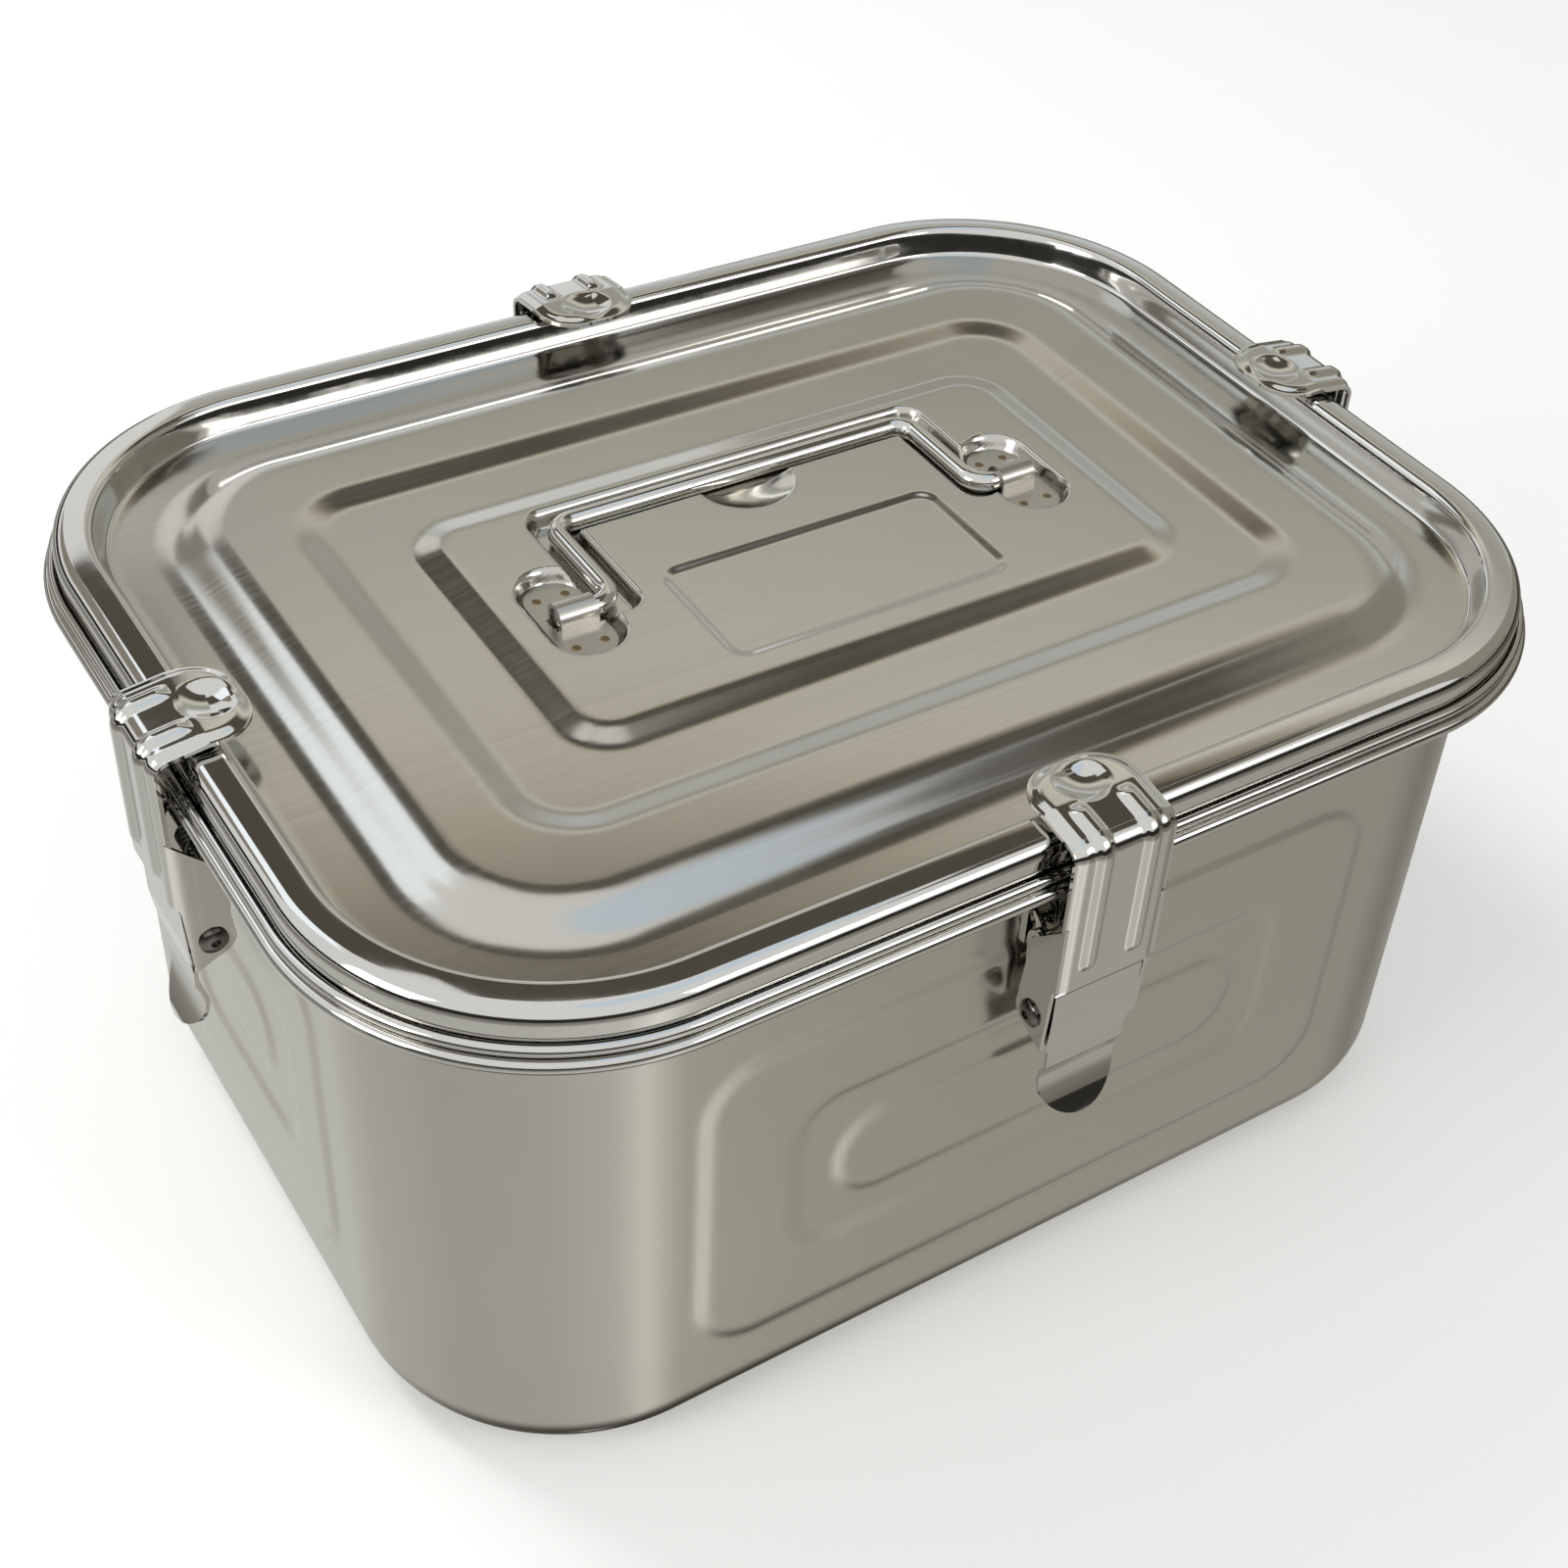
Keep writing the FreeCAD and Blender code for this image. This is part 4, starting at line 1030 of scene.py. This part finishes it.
def ground_bowl(name, elevations, round_shades, rise_shades):
    """The ground as the steel shows it: a bowl below the horizon, shaded by azimuth and by height, with
    painted light and a painted shadow of the box on it.
    """
    sky_patch(name, (-180.0, 180.0), elevations, (0.0, (1.0, 1.0, 1.0)))
    tree = bpy.data.materials[name].node_tree
    glow = tree.nodes["Emission"]
    coords = tree.nodes.new("ShaderNodeTexCoord")
    turn = tree.nodes.new("ShaderNodeTexGradient")
    turn.gradient_type = "RADIAL"
    tree.links.new(coords.outputs["Object"], turn.inputs["Vector"])
    # The gradient starts at -x and runs against the azimuth, which is counted from +y
    places = sorted((((270.0 - a) % 360.0) / 360.0, shade) for a, shade in round_shades)
    around = ramp_node(tree, places)
    tree.links.new(turn.outputs["Fac"], around.inputs["Fac"])
    split = tree.nodes.new("ShaderNodeSeparateXYZ")
    tree.links.new(coords.outputs["Generated"], split.inputs["Vector"])
    rise = ramp_node(tree, rise_shades)
    tree.links.new(split.outputs["Z"], rise.inputs["Fac"])
    product = tree.nodes.new("ShaderNodeMix")
    product.data_type = "RGBA"
    product.blend_type = "MULTIPLY"
    product.inputs["Factor"].default_value = 1.0
    tree.links.new(around.outputs["Color"], product.inputs["A"])
    tree.links.new(rise.outputs["Color"], product.inputs["B"])
    tree.links.new(product.outputs["Result"], glow.inputs["Color"])


# What the steel shows: shades of the room, from low to high or round by azimuth
DARK = (0.035, 0.033, 0.03)
BROWN = (0.11, 0.098, 0.08)
TAUPE = (0.34, 0.31, 0.27)
SKY = (0.82, 0.95, 1.10)
WINDOW = (1.42, 1.52, 1.62)
LOW_WALL = (0.47, 0.46, 0.40)
SIDE_WALL = (0.38, 0.36, 0.31)
WINDOW_WALL = (
    (0.0, (0.85, 0.92, 1.00)),
    (0.2, (0.60, 0.60, 0.57)),
    (0.457, (0.48, 0.47, 0.41)),
    (0.68, (0.71, 0.70, 0.66)),
    (0.78, (0.86, 0.83, 0.74)),
    (0.86, (0.80, 0.77, 0.67)),
    (0.93, (0.50, 0.46, 0.38)),
    (1.0, (0.25, 0.21, 0.16)),
)
# Painted light on the ground: lit from the left, darkest to the right, with a bright streak straight in front
# where window light falls
GROUND_ROUND = (
    (-60.0, (0.66, 0.66, 0.63)),
    (-15.0, (0.76, 0.76, 0.73)),
    (40.0, (0.50, 0.49, 0.45)),
    (100.0, (0.30, 0.29, 0.26)),
    (122.0, (0.50, 0.49, 0.445)),
    (152.0, (0.54, 0.53, 0.48)),
    (166.0, (0.80, 0.79, 0.74)),
    (176.0, (1.10, 1.09, 1.05)),
    (188.0, (0.78, 0.77, 0.73)),
    (220.0, (0.66, 0.66, 0.62)),
    (270.0, (0.62, 0.62, 0.59)),
)
# Painted shadow: the ground is darkest straight below, where it stands in for the box's shadow on the floor
GROUND_RISE = (
    (0.0, (0.12, 0.115, 0.11)),
    (0.04, (0.20, 0.19, 0.18)),
    (0.14, (0.80, 0.79, 0.77)),
    (0.21, (1.0, 1.0, 1.0)),
    (0.55, (0.95, 0.95, 0.95)),
    (0.72, (0.52, 0.51, 0.49)),
    (1.0, (0.36, 0.35, 0.33)),
)

make_stage()
ground_bowl("ground_bowl", (-88.0, -3.0), GROUND_ROUND, GROUND_RISE)
sky_patch("dark_band_front", (100.0, 265.0), (-3.0, 15.5), (0.0, DARK))
sky_patch("dark_band_right", (40.0, 100.0), (-3.0, 4.0), (0.0, DARK))
sky_patch("low_wall", (26.0, 84.0), (4.0, 16.0), (0.0, LOW_WALL))
sky_patch("dark_band_back", (-95.0, 5.0), (0.0, 11.0), (0.0, DARK))
sky_patch("window_wall", (8.5, 75.0), (16.0, 50.0), *WINDOW_WALL)
sky_patch("side_wall", (75.0, 128.0), (4.0, 52.0), (0.0, SIDE_WALL))
sky_patch("brown_ceiling", (8.5, 78.0), (50.0, 65.0), (0.0, BROWN))
sky_patch("brown_wall", (-9.0, 8.5), (36.0, 58.0), (0.0, BROWN))
sky_patch("taupe_wall", (-42.0, -9.0), (20.0, 38.0), (0.0, TAUPE))
sky_patch("dark_beam", (80.0, 122.0), (52.0, 64.0), (0.0, BROWN))
sky_patch("sky_light", (60.0, 205.0), (66.0, 88.0), (0.0, SKY))
sky_patch("bright_window", (-40.0, -9.0), (38.0, 57.0), (0.0, WINDOW))
KEY = lamp("key", (-0.46, 1.0, 1.38), (0.5, 0.5), 9.0)
KEY.visible_glossy = False
lamp("left", (-1.3, -0.1, 0.75), (0.6, 0.7), 6.0)
lamp("front", (0.65, -1.25, 0.95), (0.7, 0.5), 5.0)

# The photograph's camera, solved from its straight edges
AZIMUTH = math.radians(-37.2)
ELEVATION = math.radians(40.75)
ROLL = math.radians(5.57)
FOCAL_PIXELS = 2403.29
IMAGE = 1600
CENTRE_PIXEL = (917.87, 801.16)
EYE = Vector((-256.4, -384.9, 476.9)) * MM
SENSOR = 36.0
NEAREST = 0.01


def make_camera():
    """The camera at the photograph's place, turned and shifted as it was."""
    flat = math.cos(ELEVATION)
    back = Vector((math.sin(AZIMUTH) * flat, -math.cos(AZIMUTH) * flat, math.sin(ELEVATION)))
    right = Vector((0.0, 0.0, 1.0)).cross(back).normalized()
    up = back.cross(right)
    turned = right * math.cos(ROLL) + up * math.sin(ROLL)
    upright = up * math.cos(ROLL) - right * math.sin(ROLL)
    data = bpy.data.cameras.new("photo_camera")
    data.sensor_fit = "HORIZONTAL"
    data.sensor_width = SENSOR
    data.lens = FOCAL_PIXELS / IMAGE * SENSOR
    data.shift_x = (IMAGE / 2 - CENTRE_PIXEL[0]) / IMAGE
    data.shift_y = (CENTRE_PIXEL[1] - IMAGE / 2) / IMAGE
    data.clip_start = NEAREST
    obj = bpy.data.objects.new("photo_camera", data)
    axes = Matrix((turned, upright, back)).transposed().to_4x4()
    obj.matrix_world = Matrix.Translation(EYE) @ axes
    bpy.context.scene.collection.objects.link(obj)
    bpy.context.scene.camera = obj


make_camera()
bpy.context.scene.view_settings.view_transform = "Standard"
